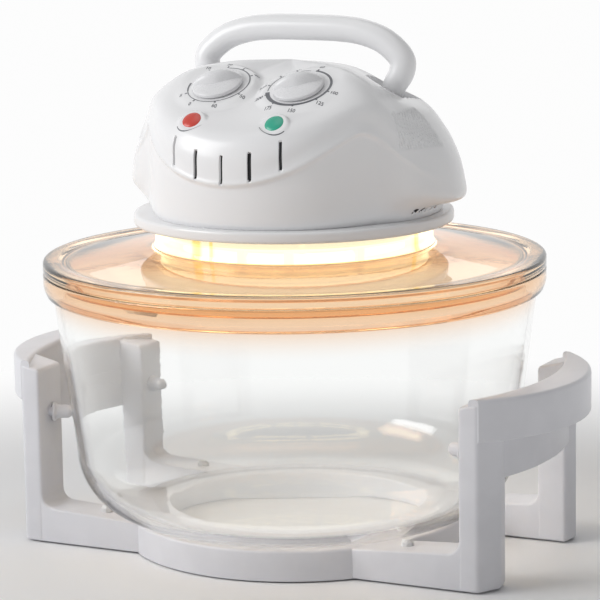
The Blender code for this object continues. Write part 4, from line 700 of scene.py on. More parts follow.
@dataclass
class Stand:
    """The white stand: base ring, two handle frames and the pegs that steady the bowl."""

    ring_outer: float = 0.112
    ring_inner: float = 0.086
    ring_top: float = 0.021
    ring_wall: float = 0.003
    ring_rounds: tuple[float, ...] = (0.0004, 0.0004, 0.001, 0.001, 0.0004, 0.0004, 0.0022, 0.0022)
    floor_level: float = 0.001
    post_inner_x: float = 0.1500
    post_outer_y: float = 0.0812
    post_depth: float = 0.0292
    post_bulge: tuple[float, float] = (0.1725, 0.0660)
    post_back_x: float = 0.1700
    post_top_slope: float = 0.0055
    post_round: float = 0.0026
    post_rim: float = 0.0022
    arm_bury: float = 0.001
    arm_overlap: float = 0.004
    arm_rim: float = 0.0018
    arm_post_z: float = 0.0245
    arm_ring_z: float = 0.0205
    arm_fillet: float = 0.008
    grip_top: float = 0.1235
    grip_band: float = 0.027
    grip_reach: float = 0.200
    grip_end_x: float = 0.1632
    grip_inner: float = 0.1765
    grip_wall: float = 0.0035
    grip_roof: float = 0.005
    hollow_half: float = 0.0495
    apron_wall: float = 0.0035
    apron_bottom: float = 0.070
    apron_rise: float = 0.014
    apron_tuck: float = 0.002
    apron_play: float = 0.0002
    apron_round: float = 0.001
    band_inset: float = 0.0006
    band_lap: float = 0.0002
    band_rib: float = 0.0008
    band_edge: float = 0.0032
    band_edge_share: float = 0.4
    band_rounds: tuple[float, ...] = (0.0008, 0.0002, 0.0002, 0.0002, 0.0002, 0.0012)
    peg_radius: float = 0.0045
    peg_z: float = 0.087
    peg_profile: tuple[tuple[float, float], ...] = (
        (0.0, -0.003), (0.003, -0.003), (0.003, 0.0012), (0.0062, 0.0014), (0.0062, 0.0030), (0.0050, 0.0042),
        (0.0045, 0.0050))
    bowl_face: float = 0.1486

    def build_ring(self) -> None:
        """The base ring, a channel turned about Z with rounded edges."""
        w, low, top = self.ring_wall, self.floor_level, self.ring_top
        corners = [(self.ring_inner, low), (self.ring_inner + w, low), (self.ring_inner + w, top - w),
                   (self.ring_outer - w, top - w), (self.ring_outer - w, low), (self.ring_outer, low),
                   (self.ring_outer, top), (self.ring_inner, top)]
        skin = Skin("ring_shell")
        skin.grid(lathe(rounded(corners, self.ring_rounds)), loop=True)
        skin.build([STAND_WHITE], Body.STAND, ("stand_ring",), slot="white_plastic")

    def posts(self) -> list[np.ndarray]:
        """Both posts of the right frame: rounded five-sided slabs whose tops fall towards the bowl."""
        slabs = []
        back = self.post_outer_y - self.post_depth
        corners = np.array([(self.post_inner_x, back), (self.post_back_x, back), self.post_bulge,
                            (self.grip_end_x, self.post_outer_y), (self.post_inner_x, self.post_outer_y)])
        for side in (1, -1):
            plan = corners * (1.0, side)
            plan = plan if side > 0 else plan[::-1]
            outline = rounded(plan, self.post_round)
            points = slab(outline, self.floor_level, self.grip_top - GAP, self.post_rim)
            upper = points[..., 2] > self.grip_top / 2
            share = (self.post_bulge[0] - points[..., 0]) / (self.post_bulge[0] - self.post_inner_x)
            points[..., 2] -= np.where(upper, self.post_top_slope * share, 0.0)
            slabs.append(points)
        return slabs

    def arms(self) -> list[np.ndarray]:
        """Both low arms of the right frame, rounded slabs drawn on edge."""
        slabs = []
        start = math.sqrt(self.ring_outer**2 - self.post_outer_y**2) - self.arm_bury
        end = self.post_inner_x + self.arm_overlap
        fillet = np.linspace(-math.pi / 2, 0.0, 7)
        curve = np.column_stack([self.post_inner_x - self.arm_fillet + self.arm_fillet * np.cos(fillet),
                                 self.arm_post_z + self.arm_fillet + self.arm_fillet * np.sin(fillet)])
        outline = np.concatenate([[(start, self.arm_ring_z)], curve,
                                  [(end, self.arm_post_z + self.arm_fillet)],
                                  [(end, self.floor_level)], [(start, self.floor_level)]])[::-1]
        for side in (1, -1):
            low, high = sorted((side * self.post_outer_y, side * (self.post_outer_y - self.post_depth)))
            slabs.append(slab(outline, low + GAP, high - GAP, self.arm_rim)[..., (0, 2, 1)])
        return slabs

    def band(self) -> np.ndarray:
        """The bowed grip: a hollow section whose outer and inner faces follow x = c + sqrt(R^2 - y^2)."""
        sag = self.grip_reach - self.grip_end_x
        radius = (self.post_outer_y**2 + sag**2) / (2 * sag)
        half = self.post_outer_y - self.band_inset
        inner_part = np.linspace(-self.hollow_half, self.hollow_half, 61)
        tails = np.linspace(self.hollow_half + self.band_lap / 2, half, 20)
        y = np.concatenate([-tails[::-1], inner_part, tails])
        outer = self.grip_reach - radius + np.sqrt(radius**2 - y**2)
        inner = np.sqrt(self.grip_inner**2 - y**2)
        low, top = self.grip_top - self.grip_band, self.grip_top
        roof = np.where(np.abs(y) <= self.hollow_half, top - self.grip_roof, low + self.band_lap)
        rows = []
        for i in range(len(y)):
            lip = inner[i] + self.apron_wall + self.grip_wall
            wall = outer[i] - self.grip_wall
            lip = min(lip, (inner[i] + outer[i]) / 2 - 0.0005)
            wall = max(wall, lip + self.band_rib)
            corners = [(inner[i], low), (lip, low), (lip, roof[i]), (wall, roof[i]), (wall, low),
                       (outer[i], low),
                       (outer[i], top), (inner[i], top)]
            edge = min(self.band_edge, (outer[i] - inner[i]) * self.band_edge_share)
            section = rounded(corners, [*self.band_rounds, edge, edge], 4)
            rows.append(np.column_stack([section[:, 0], np.full(len(section), y[i]), section[:, 1]]))
        return np.stack(rows)

    def apron(self) -> np.ndarray:
        """The panel under the grip's inner edge, a ring sector with quarter circles at its lower corners."""
        half = self.post_outer_y - self.post_depth / 2
        y = np.linspace(-half, half, 91)
        u = np.clip((np.abs(y) - (half - self.apron_rise)) / self.apron_rise, 0.0, 1.0)
        bottom = self.apron_bottom + self.apron_rise * (1 - np.sqrt(1 - u**2))
        top = self.grip_top - self.grip_band + self.apron_tuck
        rows = []
        for i in range(len(y)):
            near = math.sqrt((self.grip_inner - self.apron_play)**2 - y[i]**2)
            far = math.sqrt((self.grip_inner + self.apron_wall)**2 - y[i]**2)
            corners = [(near, bottom[i]), (far, bottom[i]), (far, top), (near, top)]
            section = rounded(corners, [self.apron_round, self.apron_round, 0, 0], 3)
            rows.append(np.column_stack([section[:, 0], np.full(len(section), y[i]), section[:, 1]]))
        return np.stack(rows)

    def build_pegs(self) -> None:
        """Round-nosed pegs between the posts and the bowl."""
        number = 0
        for turn in (1, -1):
            for side in (-1, 1):
                number += 1
                across = side * (self.post_outer_y - self.post_depth / 2)
                point = np.array([self.post_inner_x, across, self.peg_z])
                direction = np.array([-point[0], -point[1], 0.0])
                reach = math.hypot(point[0], point[1]) - self.bowl_face - 2 * GAP
                r = self.peg_radius
                nose = [(r * math.cos(a), reach - r + r * math.sin(a)) for a in np.linspace(0.0, math.pi / 2,
                                                                                            9)]
                skin = Skin(f"steady_peg_{number}")
                points = stand_up(lathe(np.array([*self.peg_profile, *nose]), 40), point, direction)
                skin.grid(points * (turn, turn, 1.0), cap=True)
                skin.build([STAND_WHITE], Body.STAND, (f"bowl_peg_{number}",), slot="white_plastic")

    def build(self) -> None:
        """Build every piece of the stand."""
        self.build_ring()
        for turn, label in ((1.0, "right"), (-1.0, "left")):
            skin = Skin(f"carry_frame_{label}")
            for points in (*self.posts(), *self.arms(), self.band(), self.apron()):
                skin.grid(points * (turn, turn, 1.0), cap=True)
            skin.build([STAND_WHITE], Body.STAND, (f"handle_frame_{label}",), slot="white_plastic")
        self.build_pegs()


# Glass


@dataclass
class Glassware:
    """The clear bowl and its lid, both turned about Z."""

    bottom: float = 0.0213
    foot_radius: float = 0.100
    side_radius: float = 0.146
    side_z: float = 0.066
    neck_radius: float = 0.1588
    neck_z: float = 0.1689
    wall: float = 0.005
    rim_radius: float = 0.165
    rim_top: float = 0.1845
    lip_z: float = 0.176
    lid_top: float = 0.1927
    lid_glass: float = 0.0042
    shoulder_radius: float = 0.099
    collar_radius: float = 0.091
    collar_wall: float = 0.004
    collar_top: float = 0.2132
    collar_flange: float = 0.005
    rim_rounds: tuple[float, ...] = (0.002, 0.002, 0.002, 0.0016, 0.0016, 0.004)
    lid_rounds: tuple[float, ...] = (0.0012, 0.0026, 0.003, 0.005, 0.006, 0.0016, 0.0016, 0.0006, 0.0006,
                                     0.0006,
                                     0.0006, 0.0012, 0.0012, 0.005, 0.002, 0.0012, 0.0012, 0.0006)
    rim_slope: tuple[float, float] = (0.002, 0.001)
    lid_rise: float = 0.0055
    lid_band: float = 0.0090
    lid_step: tuple[float, float] = (0.0144, 0.0015)
    skirt_play: float = 0.0006
    skirt_wall: float = 0.004
    skirt_drop: float = 0.007

    def corner(self, low: float, side: float, foot: float) -> np.ndarray:
        """The bowl's rounded lower corner, a quarter ellipse.

        Args:
            low: the foot's height.
            side: the radius where the side starts.
            foot: the radius where the foot ends.

        Returns:
            (radius, height) points.
        """
        a = np.linspace(0.0, math.pi / 2, 25)
        return np.column_stack([foot + (side - foot) * np.sin(a),
                                low + (self.side_z - low) * (1 - np.cos(a))])

    def build_bowl(self) -> None:
        """The bowl's outline, out along the foot and up, then back down inside."""
        outer = self.corner(self.bottom, self.side_radius, self.foot_radius)
        lip = (self.rim_radius - self.rim_slope[0], self.neck_z + self.rim_slope[1])
        rim = rounded([(self.neck_radius, self.neck_z), lip, (self.rim_radius, self.lip_z),
                       (self.rim_radius, self.rim_top), (self.neck_radius - self.wall, self.rim_top),
                       (self.neck_radius - self.wall, self.neck_z)], self.rim_rounds, 6, closed=False)
        inner = self.corner(self.bottom + self.wall, self.side_radius - self.wall,
                            self.foot_radius - self.wall / 2)
        profile = np.concatenate([[(0.0, self.bottom)], outer, rim, inner[::-1],
                                  [(0.0, self.bottom + self.wall)]])
        skin = Skin("clear_bowl")
        skin.grid(lathe(profile, 256))
        skin.build([BOWL_GLASS], Body.BOWL, ("glass_bowl",), sharp=60.0, slot="glass")

    def build_lid(self) -> None:
        """The lid's outline: rim, shallow top, collar with its flange, and the skirt inside the bowl."""
        seat = self.rim_top + GAP
        glass = self.lid_glass
        rise = self.lid_top + self.lid_rise
        skirt = self.neck_radius - self.wall - self.skirt_play
        inside = self.collar_radius - self.collar_wall
        skirt_in, skirt_low = skirt - self.skirt_wall, seat - self.skirt_drop
        corners = [(self.rim_radius, seat), (self.rim_radius, self.lid_top),
                   (self.rim_radius - self.lid_band, self.lid_top),
                   (self.rim_radius - self.lid_step[0],
                    self.lid_top - self.lid_step[1]), (self.shoulder_radius, rise),
                   (self.collar_radius + glass / 3, rise + glass / 3), (self.collar_radius,
                                                                        rise + glass * 1.2),
                   (self.collar_radius, self.collar_top), (inside - self.collar_flange, self.collar_top),
                   (inside - self.collar_flange, self.collar_top - glass), (inside, self.collar_top - glass),
                   (inside, rise + glass / 2), (inside + glass / 2, rise - glass / 2),
                   (self.shoulder_radius - glass / 4, rise - glass), (skirt_in, self.lid_top - glass),
                   (skirt_in, skirt_low), (skirt, skirt_low), (skirt, seat)]
        skin = Skin("clear_lid")
        skin.grid(lathe(rounded(corners, self.lid_rounds, 6), 256), loop=True)
        skin.build([LID_GLASS], Body.HEAD, ("glass_lid",), sharp=60.0, slot="glass")

    def build(self) -> None:
        """Build both glasses."""
        self.build_bowl()
        self.build_lid()


# Head covers


@dataclass(frozen=True)
class Seat:
    """A flat round place on the covers, alike on both sides."""

    x: float
    y: float
    tilt: float
    lift: float
    radius: float
    blend: float


DIAL = Seat(0.0287, -0.0470, 25.7, 0.0029, 0.0228, 0.0070)
LENS = Seat(0.0290, -0.0835, 42.0, 0.0005, 0.0072, 0.0040)


@dataclass
class Cover:
    """The head's white covers as one surface over azimuth and station, with their openings pressed in."""

    bottom: float = 0.2224
    top: float = 0.320
    radius: float = 0.100
    wall: float = 0.003
    crease_depth: float = 0.0017
    crease_width: float = 0.0036
    split_y: float = 0.050
    slot_width: float = 0.0019
    slot_length: float = 0.0175
    slot_azimuths: tuple[float, ...] = (-22.0, -10.8, 0.0, 10.8, 22.0)
    slot_tops: tuple[float, ...] = (0.2785, 0.2715, 0.2689, 0.2715, 0.2785)
    vent_size: float = 0.003
    vent_z: float = 0.2281
    vent_azimuths: tuple[float, ...] = (77.0, 81.2, 85.4, 89.6, 93.8)
    top_vent_width: float = 0.0022
    top_vent_length: float = 0.016
    top_vent_pitch: float = 0.007
    top_vent_count: int = 7
    top_vent_y: float = 0.064
    rib_azimuths: tuple[float, float] = (69.0, 89.0)
    rib_heights: tuple[float, float] = (0.269, 0.2915)
    rib_pitch: float = 0.0026
    rib_slant: float = 0.45
    pocket_x: float = 0.064
    pocket_half: float = 0.0122
    pocket_front: float = 0.0035
    pocket_rear: float = 0.041
    pocket_floor_y: float = 0.025
    pocket_floor: float = 0.2768
    pocket_rear_z: float = 0.290
    inlet_half: tuple[float, float] = (0.0122, 0.0082)
    inlet_z: float = 0.2450
    slot_depth: float = 0.0026
    # Strength of the painted shade inside the slots and vents.
    slot_shade: float = 1.1
    vent_depth: float = 0.0024
    top_vent_shade: float = 1.05
    rib_depth: float = 0.0011
    seam_depth: float = 0.0006
    seam_half: float = 0.0002
    seam_soft: float = 0.0016
    inlet_depth: float = 0.0125
    hem_rise: float = 0.006
    crown_station: float = 9.0
    seats: tuple[Seat, ...] = (DIAL, LENS)
    azimuths: tuple[float, ...] = (0.0, 30.0, 60.0, 75.0, 90.0, 118.0, 150.0, 180.0)
    radius_shares: tuple[tuple[float, ...], ...] = (
        (0.985, 1.010, 1.015, 1.013, 1.005, 0.960, 0.860, 0.633, 0.340, 0.0),
        (0.975, 0.995, 1.000, 1.000, 0.993, 0.950, 0.850, 0.633, 0.340, 0.0),
        (0.925, 0.945, 0.948, 0.948, 0.945, 0.935, 0.885, 0.670, 0.380, 0.0),
        (0.960, 0.985, 1.075, 1.075, 1.045, 0.990, 0.885, 0.670, 0.380, 0.0),
        (0.970, 1.000, 1.150, 1.148, 1.105, 1.010, 0.880, 0.660, 0.380, 0.0),
        (0.970, 1.000, 1.100, 1.093, 1.055, 0.985, 0.860, 0.640, 0.380, 0.0),
        (0.970, 0.995, 1.020, 1.020, 0.990, 0.930, 0.830, 0.620, 0.340, 0.0),
        (0.970, 0.995, 1.005, 1.000, 0.975, 0.920, 0.820, 0.610, 0.330, 0.0),
    )
    height_shares: tuple[tuple[float, ...], ...] = (
        (0.0, 0.047, 0.180, 0.344, 0.477, 0.588, 0.658, 0.760, 0.892, 1.0),
        (0.0, 0.047, 0.180, 0.354, 0.520, 0.638, 0.717, 0.797, 0.908, 1.0),
        (0.0, 0.047, 0.201, 0.365, 0.529, 0.652, 0.785, 0.934, 0.990, 1.0),
        (0.0, 0.047, 0.160, 0.283, 0.426, 0.570, 0.713, 0.888, 0.980, 1.0),
        (0.0, 0.068, 0.114, 0.252, 0.406, 0.565, 0.703, 0.826, 0.960, 1.0),
        (0.0, 0.068, 0.109, 0.242, 0.396, 0.549, 0.703, 0.816, 0.950, 1.0),
        (0.0, 0.047, 0.160, 0.303, 0.457, 0.590, 0.698, 0.816, 0.939, 1.0),
        (0.0, 0.047, 0.180, 0.324, 0.467, 0.590, 0.693, 0.816, 0.939, 1.0),
    )
    crease_azimuths: tuple[float, ...] = (0.0, 12.5, 25.0, 35.0, 45.0, 54.0, 63.0, 70.0, 78.0, 95.0, 180.0)
    crease_shares: tuple[float, ...] = (0.278, 0.301, 0.368, 0.452, 0.539, 0.590, 0.519, 0.406, 0.298, 0.15,
                                        0.15)
    crease_depth_shares: tuple[float, ...] = (1.0, 1.0, 1.0, 1.0, 1.0, 1.0, 0.8, 0.5, 0.2, 0.0, 0.0)

    @staticmethod
    def hermite(keys, values, x: np.ndarray) -> np.ndarray:
        """A smooth curve through a table, level at both ends of its keys.

        Args:
            keys: growing key values.
            values: one value or row of values for each key.
            x: where to read it.

        Returns:
            The value or row for each x.
        """
        keys = np.asarray(keys)
        values = np.asarray(values)
        shape = (-1,) + (1,) * (values.ndim - 1)
        slopes = np.zeros_like(values)
        slopes[1:-1] = (values[2:] - values[:-2]) / (keys[2:] - keys[:-2]).reshape(shape)
        i = np.clip(np.searchsorted(keys, x, side="right") - 1, 0, len(keys) - 2)
        span = (keys[i + 1] - keys[i]).reshape(shape)
        u = ((x - keys[i]).reshape(shape)) / span
        return cubic(u, values[i], values[i + 1], span * slopes[i], span * slopes[i + 1])

    @staticmethod
    def stations(values: np.ndarray, t: np.ndarray) -> np.ndarray:
        """A smooth curve up each column's stations, with its ends' own slopes.

        Args:
            values: columns x stations.
            t: station numbers, one for each column.

        Returns:
            One value for each column.
        """
        last = values.shape[1] - 1
        i = np.clip(t.astype(int), 0, last - 1)
        u = t - i
        pick = np.arange(len(t))
        here, there = values[pick, i], values[pick, i + 1]
        before = values[pick, np.maximum(i - 1, 0)]
        after = values[pick, np.minimum(i + 2, last)]
        slope0 = (there - before) / np.where(i > 0, 2, 1)
        slope1 = (after - here) / np.where(i + 1 < last, 2, 1)
        return cubic(u, here, there, slope0, slope1)

    def surface(self, azimuth: np.ndarray, t: np.ndarray) -> np.ndarray:
        """Points of the outer surface: radius and height read from the tables, drawn in below the crease.

        Args:
            azimuth: degrees from the front, any shape.
            t: stations from the hem (0) to the crown (9), the same shape.

        Returns:
            Positions of that shape x 3.
        """
        shape = azimuth.shape
        turn = np.abs((azimuth.ravel() + 180.0) % 360.0 - 180.0)
        flat = t.ravel()
        radius = self.stations(self.hermite(self.azimuths, self.radius_shares, turn), flat) * self.radius
        tall = self.top - self.bottom
        height = self.bottom + self.stations(self.hermite(self.azimuths, self.height_shares, turn),
                                             flat) * tall
        crease = self.bottom + self.hermite(self.crease_azimuths, self.crease_shares, turn) * tall
        depth = self.hermite(self.crease_azimuths, self.crease_depth_shares, turn) * self.crease_depth
        below = np.clip((crease - height) / self.crease_width + 0.5, 0.0, 1.0)
        radius = radius - depth * eased(below)
        over = (height - crease) / self.crease_width
        ridge = np.exp(-((over - 0.45) / 0.45)**2) * 0.40
        valley = np.exp(-((over - 2.4) / 1.3)**2) * 0.55 * np.clip((turn - 8.0) / 20.0, 0.0, 1.0)
        radius = radius + depth * (ridge - valley)
        angle = np.radians(azimuth.ravel())
        points = np.stack([radius * np.sin(angle), -radius * np.cos(angle), height], axis=-1)
        return points.reshape(*shape, 3)

    def seated(self, x: np.ndarray, y: np.ndarray, z: np.ndarray) -> np.ndarray:
        """Flatten the surface under dials and lenses: z blends to the plane (h + s (y - y0)) / c + z0.

        Args:
            x: plan positions.
            y: plan positions.
            z: the surface's heights.

        Returns:
            The changed heights.
        """
        for seat in self.seats:
            for side in (-1, 1):
                s, c = math.sin(math.radians(seat.tilt)), math.cos(math.radians(seat.tilt))
                base = self.raw_height_at(np.array([seat.x]), np.array([seat.y]))[0]
                plane = base + (seat.lift + s * (y - seat.y)) / c
                reach = np.hypot(x - side * seat.x, (y - seat.y) / c)
                u = np.clip((seat.radius + seat.blend - reach) / seat.blend, 0.0, 1.0)
                mask = np.where(z > self.bottom + 0.4 * (self.top - self.bottom), eased(u), 0.0)
                z = z + mask * (plane - z)
        return z

    def perch(self, seat: Seat, side: int) -> tuple[np.ndarray, np.ndarray]:
        """Where a piece on a seat starts, and where it points.

        Args:
            seat: the seat.
            side: 1 right, -1 left.

        Returns:
            The origin on the unchanged surface and the seat's axis.
        """
        x, y = np.array([side * seat.x]), np.array([seat.y])
        tilt = math.radians(seat.tilt)
        origin = np.array([x[0], y[0], self.raw_height_at(x, y)[0]])
        return origin, np.array([0.0, -math.sin(tilt), math.cos(tilt)])

    def height_at(self, x: np.ndarray, y: np.ndarray) -> np.ndarray:
        """The height over plan points with the dial and lens seats.

        Args:
            x: plan positions.
            y: plan positions.

        Returns:
            Heights.
        """
        return self.seated(x, y, self.raw_height_at(x, y))

    def raw_height_at(self, x: np.ndarray, y: np.ndarray) -> np.ndarray:
        """The surface's height over plan points, found by halving the station range.

        Args:
            x: plan positions.
            y: plan positions.

        Returns:
            Heights.
        """
        azimuth = np.degrees(np.arctan2(x, -y))
        radius = np.hypot(x, y)
        low = np.full(x.shape, 4.0)
        high = np.full(x.shape, self.crown_station)
        for _ in range(30):
            middle = (low + high) / 2
            point = self.surface(azimuth, middle)
            outside = np.hypot(point[..., 0], point[..., 1]) > radius
            low = np.where(outside, middle, low)
            high = np.where(outside, high, middle)
        return self.surface(azimuth, low)[..., 2]

    def column_azimuths(self) -> np.ndarray:
        """Azimuths of the columns, closer where the slots, vents, ribs and pockets are.

        Returns:
            Degrees in growing order.
        """
        spans = ((0.0, 26.0, 110), (26.0, 66.0, 26), (66.0, 126.0, 130), (126.0, 180.0, 34))
        half = np.concatenate([np.linspace(*span, endpoint=False) for span in spans])
        return np.concatenate([half, [180.0], 360.0 - half[:0:-1]])

    def row_stations(self) -> np.ndarray:
        """Stations of the rows, closer on the shoulder.

        Returns:
            Stations in growing order, ending just under the crown.
        """
        lower = [np.linspace(*span, endpoint=False) for span in ((0.0, 5.0, 72), (5.0, 8.0, 62))]
        return np.concatenate([*lower, np.linspace(8.0, 8.98, 14)])

    def pressed(self, points: np.ndarray, azimuth: np.ndarray) -> tuple[np.ndarray, np.ndarray]:
        """How deep each point is pressed in, and where shade is painted inside the openings.

        Args:
            points: the surface's positions.
            azimuth: the columns' azimuths.

        Returns:
            Depths in metres and a 0 to 1 mask of painted shade.
        """
        x, y, z = points[..., 0], points[..., 1], points[..., 2]
        radius = np.hypot(x, y)
        turn = (azimuth + 180.0) % 360.0 - 180.0
        depth = np.zeros_like(z)
        # Painted shade: a mask where the near-black finish stands in for the shade inside openings.
        dark = np.zeros_like(z)
        for centre, top in zip(self.slot_azimuths, self.slot_tops):
            across = radius * np.radians(turn - centre)
            mask = soft_box(across, -self.slot_width / 2, self.slot_width / 2, 0.0006)
            mask = mask * soft_box(z, top - self.slot_length, top, 0.0012)
            mask = np.where(np.abs(turn) < 40, mask, 0)
            depth = np.maximum(depth, mask * self.slot_depth)
            dark = np.maximum(dark, mask * self.slot_shade)
        for centre in self.vent_azimuths:
            across = radius * np.radians(np.abs(turn) - centre)
            mask = soft_box(across, -self.vent_size / 2, self.vent_size / 2, 0.0005)
            mask = mask * soft_box(z, self.vent_z - self.vent_size / 2, self.vent_z + self.vent_size / 2,
                                   0.0006)
            depth = np.maximum(depth, mask * self.vent_depth)
            dark = np.maximum(dark, mask * self.slot_shade)
        patch = soft_box(np.abs(turn), *self.rib_azimuths, 1.0) * soft_box(z, *self.rib_heights, 0.0015)
        phase = (radius * np.radians(np.abs(turn)) + self.rib_slant * z) / self.rib_pitch
        depth = depth + patch * self.rib_depth * (0.5 + 0.5 * np.cos(2 * math.pi * phase))
        seam = soft_box(y, self.split_y - self.seam_half, self.split_y + self.seam_half, self.seam_soft)
        depth = depth + seam * self.seam_depth
        upper = z > self.bottom + 0.65 * (self.top - self.bottom)
        for i in range(self.top_vent_count):
            centre = (i - (self.top_vent_count - 1) / 2) * self.top_vent_pitch
            mask = soft_box(x, centre - self.top_vent_width / 2, centre + self.top_vent_width / 2, 0.0010)
            mask = mask * soft_box(y, self.top_vent_y, self.top_vent_y + self.top_vent_length, 0.0014) * upper
            depth = np.maximum(depth, mask * self.slot_depth)
            dark = np.maximum(dark, mask * self.top_vent_shade)
        half_x, half_z = self.inlet_half
        mask = soft_box(x, -half_x, half_x, 0.001) * (y > 0)
        mask = mask * soft_box(z, self.inlet_z - half_z, self.inlet_z + half_z, 0.001)
        depth = np.maximum(depth, mask * self.inlet_depth)
        # Painted shade inside the mains inlet's opening.
        dark = np.maximum(dark, mask)
        return depth, dark

    def pockets(self, points: np.ndarray) -> np.ndarray:
        """Lower the surface to the floors of the two handle pockets.

        Args:
            points: the surface's positions.

        Returns:
            The changed positions.
        """
        x, y, z = points[..., 0], points[..., 1], points[..., 2]
        slope = (self.pocket_rear_z - self.pocket_floor) / (self.pocket_rear - self.pocket_floor_y)
        floor = self.pocket_floor + np.clip(y - self.pocket_floor_y, 0.0, None) * slope
        near, far = self.pocket_x - self.pocket_half, self.pocket_x + self.pocket_half
        mask = soft_box(np.abs(x), near, far, 0.0016)
        mask = mask * soft_box(y, self.pocket_front, self.pocket_rear, 0.0018)
        lowered = z + mask * np.minimum(floor - z, 0.0)
        return np.stack([x, y, lowered], axis=-1)

    def build(self) -> None:
        """Build the covers as one surface with a turned-in hem."""
        columns = self.column_azimuths()
        rows = self.row_stations()
        t, azimuth = np.meshgrid(rows, columns, indexing="ij")
        points = self.surface(azimuth, t)
        along_rows = np.gradient(points, axis=0)
        along_columns = np.roll(points, -1, axis=1) - np.roll(points, 1, axis=1)
        normals = np.cross(along_columns, along_rows)
        normals = normals / np.maximum(np.linalg.norm(normals, axis=-1, keepdims=True), 1e-12)
        depth, dark = self.pressed(points, azimuth)
        points[..., 2] = self.seated(points[..., 0], points[..., 1], points[..., 2])
        points = self.pockets(points - normals * depth[..., None])
        share = 1 - self.wall / self.radius
        plan = points[:1] * (share, share, 1.0)
        inside = plan + (0.0, 0.0, self.hem_rise)
        grid = np.concatenate([inside, plan, points])
        # Faces under the painted shade mask take the near-black finish.
        marks = np.concatenate([np.zeros((2, len(columns))), dark])
        skin = Skin("head_cover")
        skin.grid(grid, marks=marks)
        ring = np.arange(len(columns)) + (grid.shape[0] - 1) * len(columns)
        skin.points.append(self.surface(np.zeros(1), np.array([self.crown_station])))
        fan = np.stack([ring, np.roll(ring, -1), np.full(len(ring), skin.count)], axis=-1)
        skin.triangles.append(fan)
        skin.count += 1
        skin.build([WHITE, OPENING_SHADE], Body.HEAD, ("front_cover", "rear_cover"), sharp=50.0, slot="white_plastic")


# Head base, lamp and printed marks


@dataclass(frozen=True)
class Scale:
    """A dial's printed scale: arcs are (start, end, widths), marks are (degrees, number)."""

    side: int
    radius: float
    tick_radius: float
    tick_width: float
    number_radius: float
    arcs: tuple[tuple[float, float, tuple[float, float]], ...]
    marks: tuple[tuple[float, str], ...]


SCALES = (
    Scale(-1, 0.0204, 0.0217, 0.0016, 0.0252,
          ((-165, 20, (0.0005, 0.0009)), (20, 95, (0.0009, 0.0006)), (178, 206, (0.0014, 0.0008))),
          ((246.0, "0"), (213.0, "5"), (131.0, "10"), (98.0, "20"), (66.0, "30"), (34.0, "40"), (-28.0, "50"),
           (-72.0, "60"))),
    Scale(1, 0.0206, 0.0219, 0.0014, 0.0262,
          ((-160, -20, (0.0028, 0.0018)), (-20, 82, (0.0018, 0.0014)), (92, 196, (0.0003, 0.0006))),
          ((117.0, "OFF"), (79.0, "60"), (-9.0, "100"), (-37.0, "125"), (-78.0, "150"), (-117.0, "175"),
           (-152.0, "200"), (177.0, "225"), (147.0, "250"))),
)


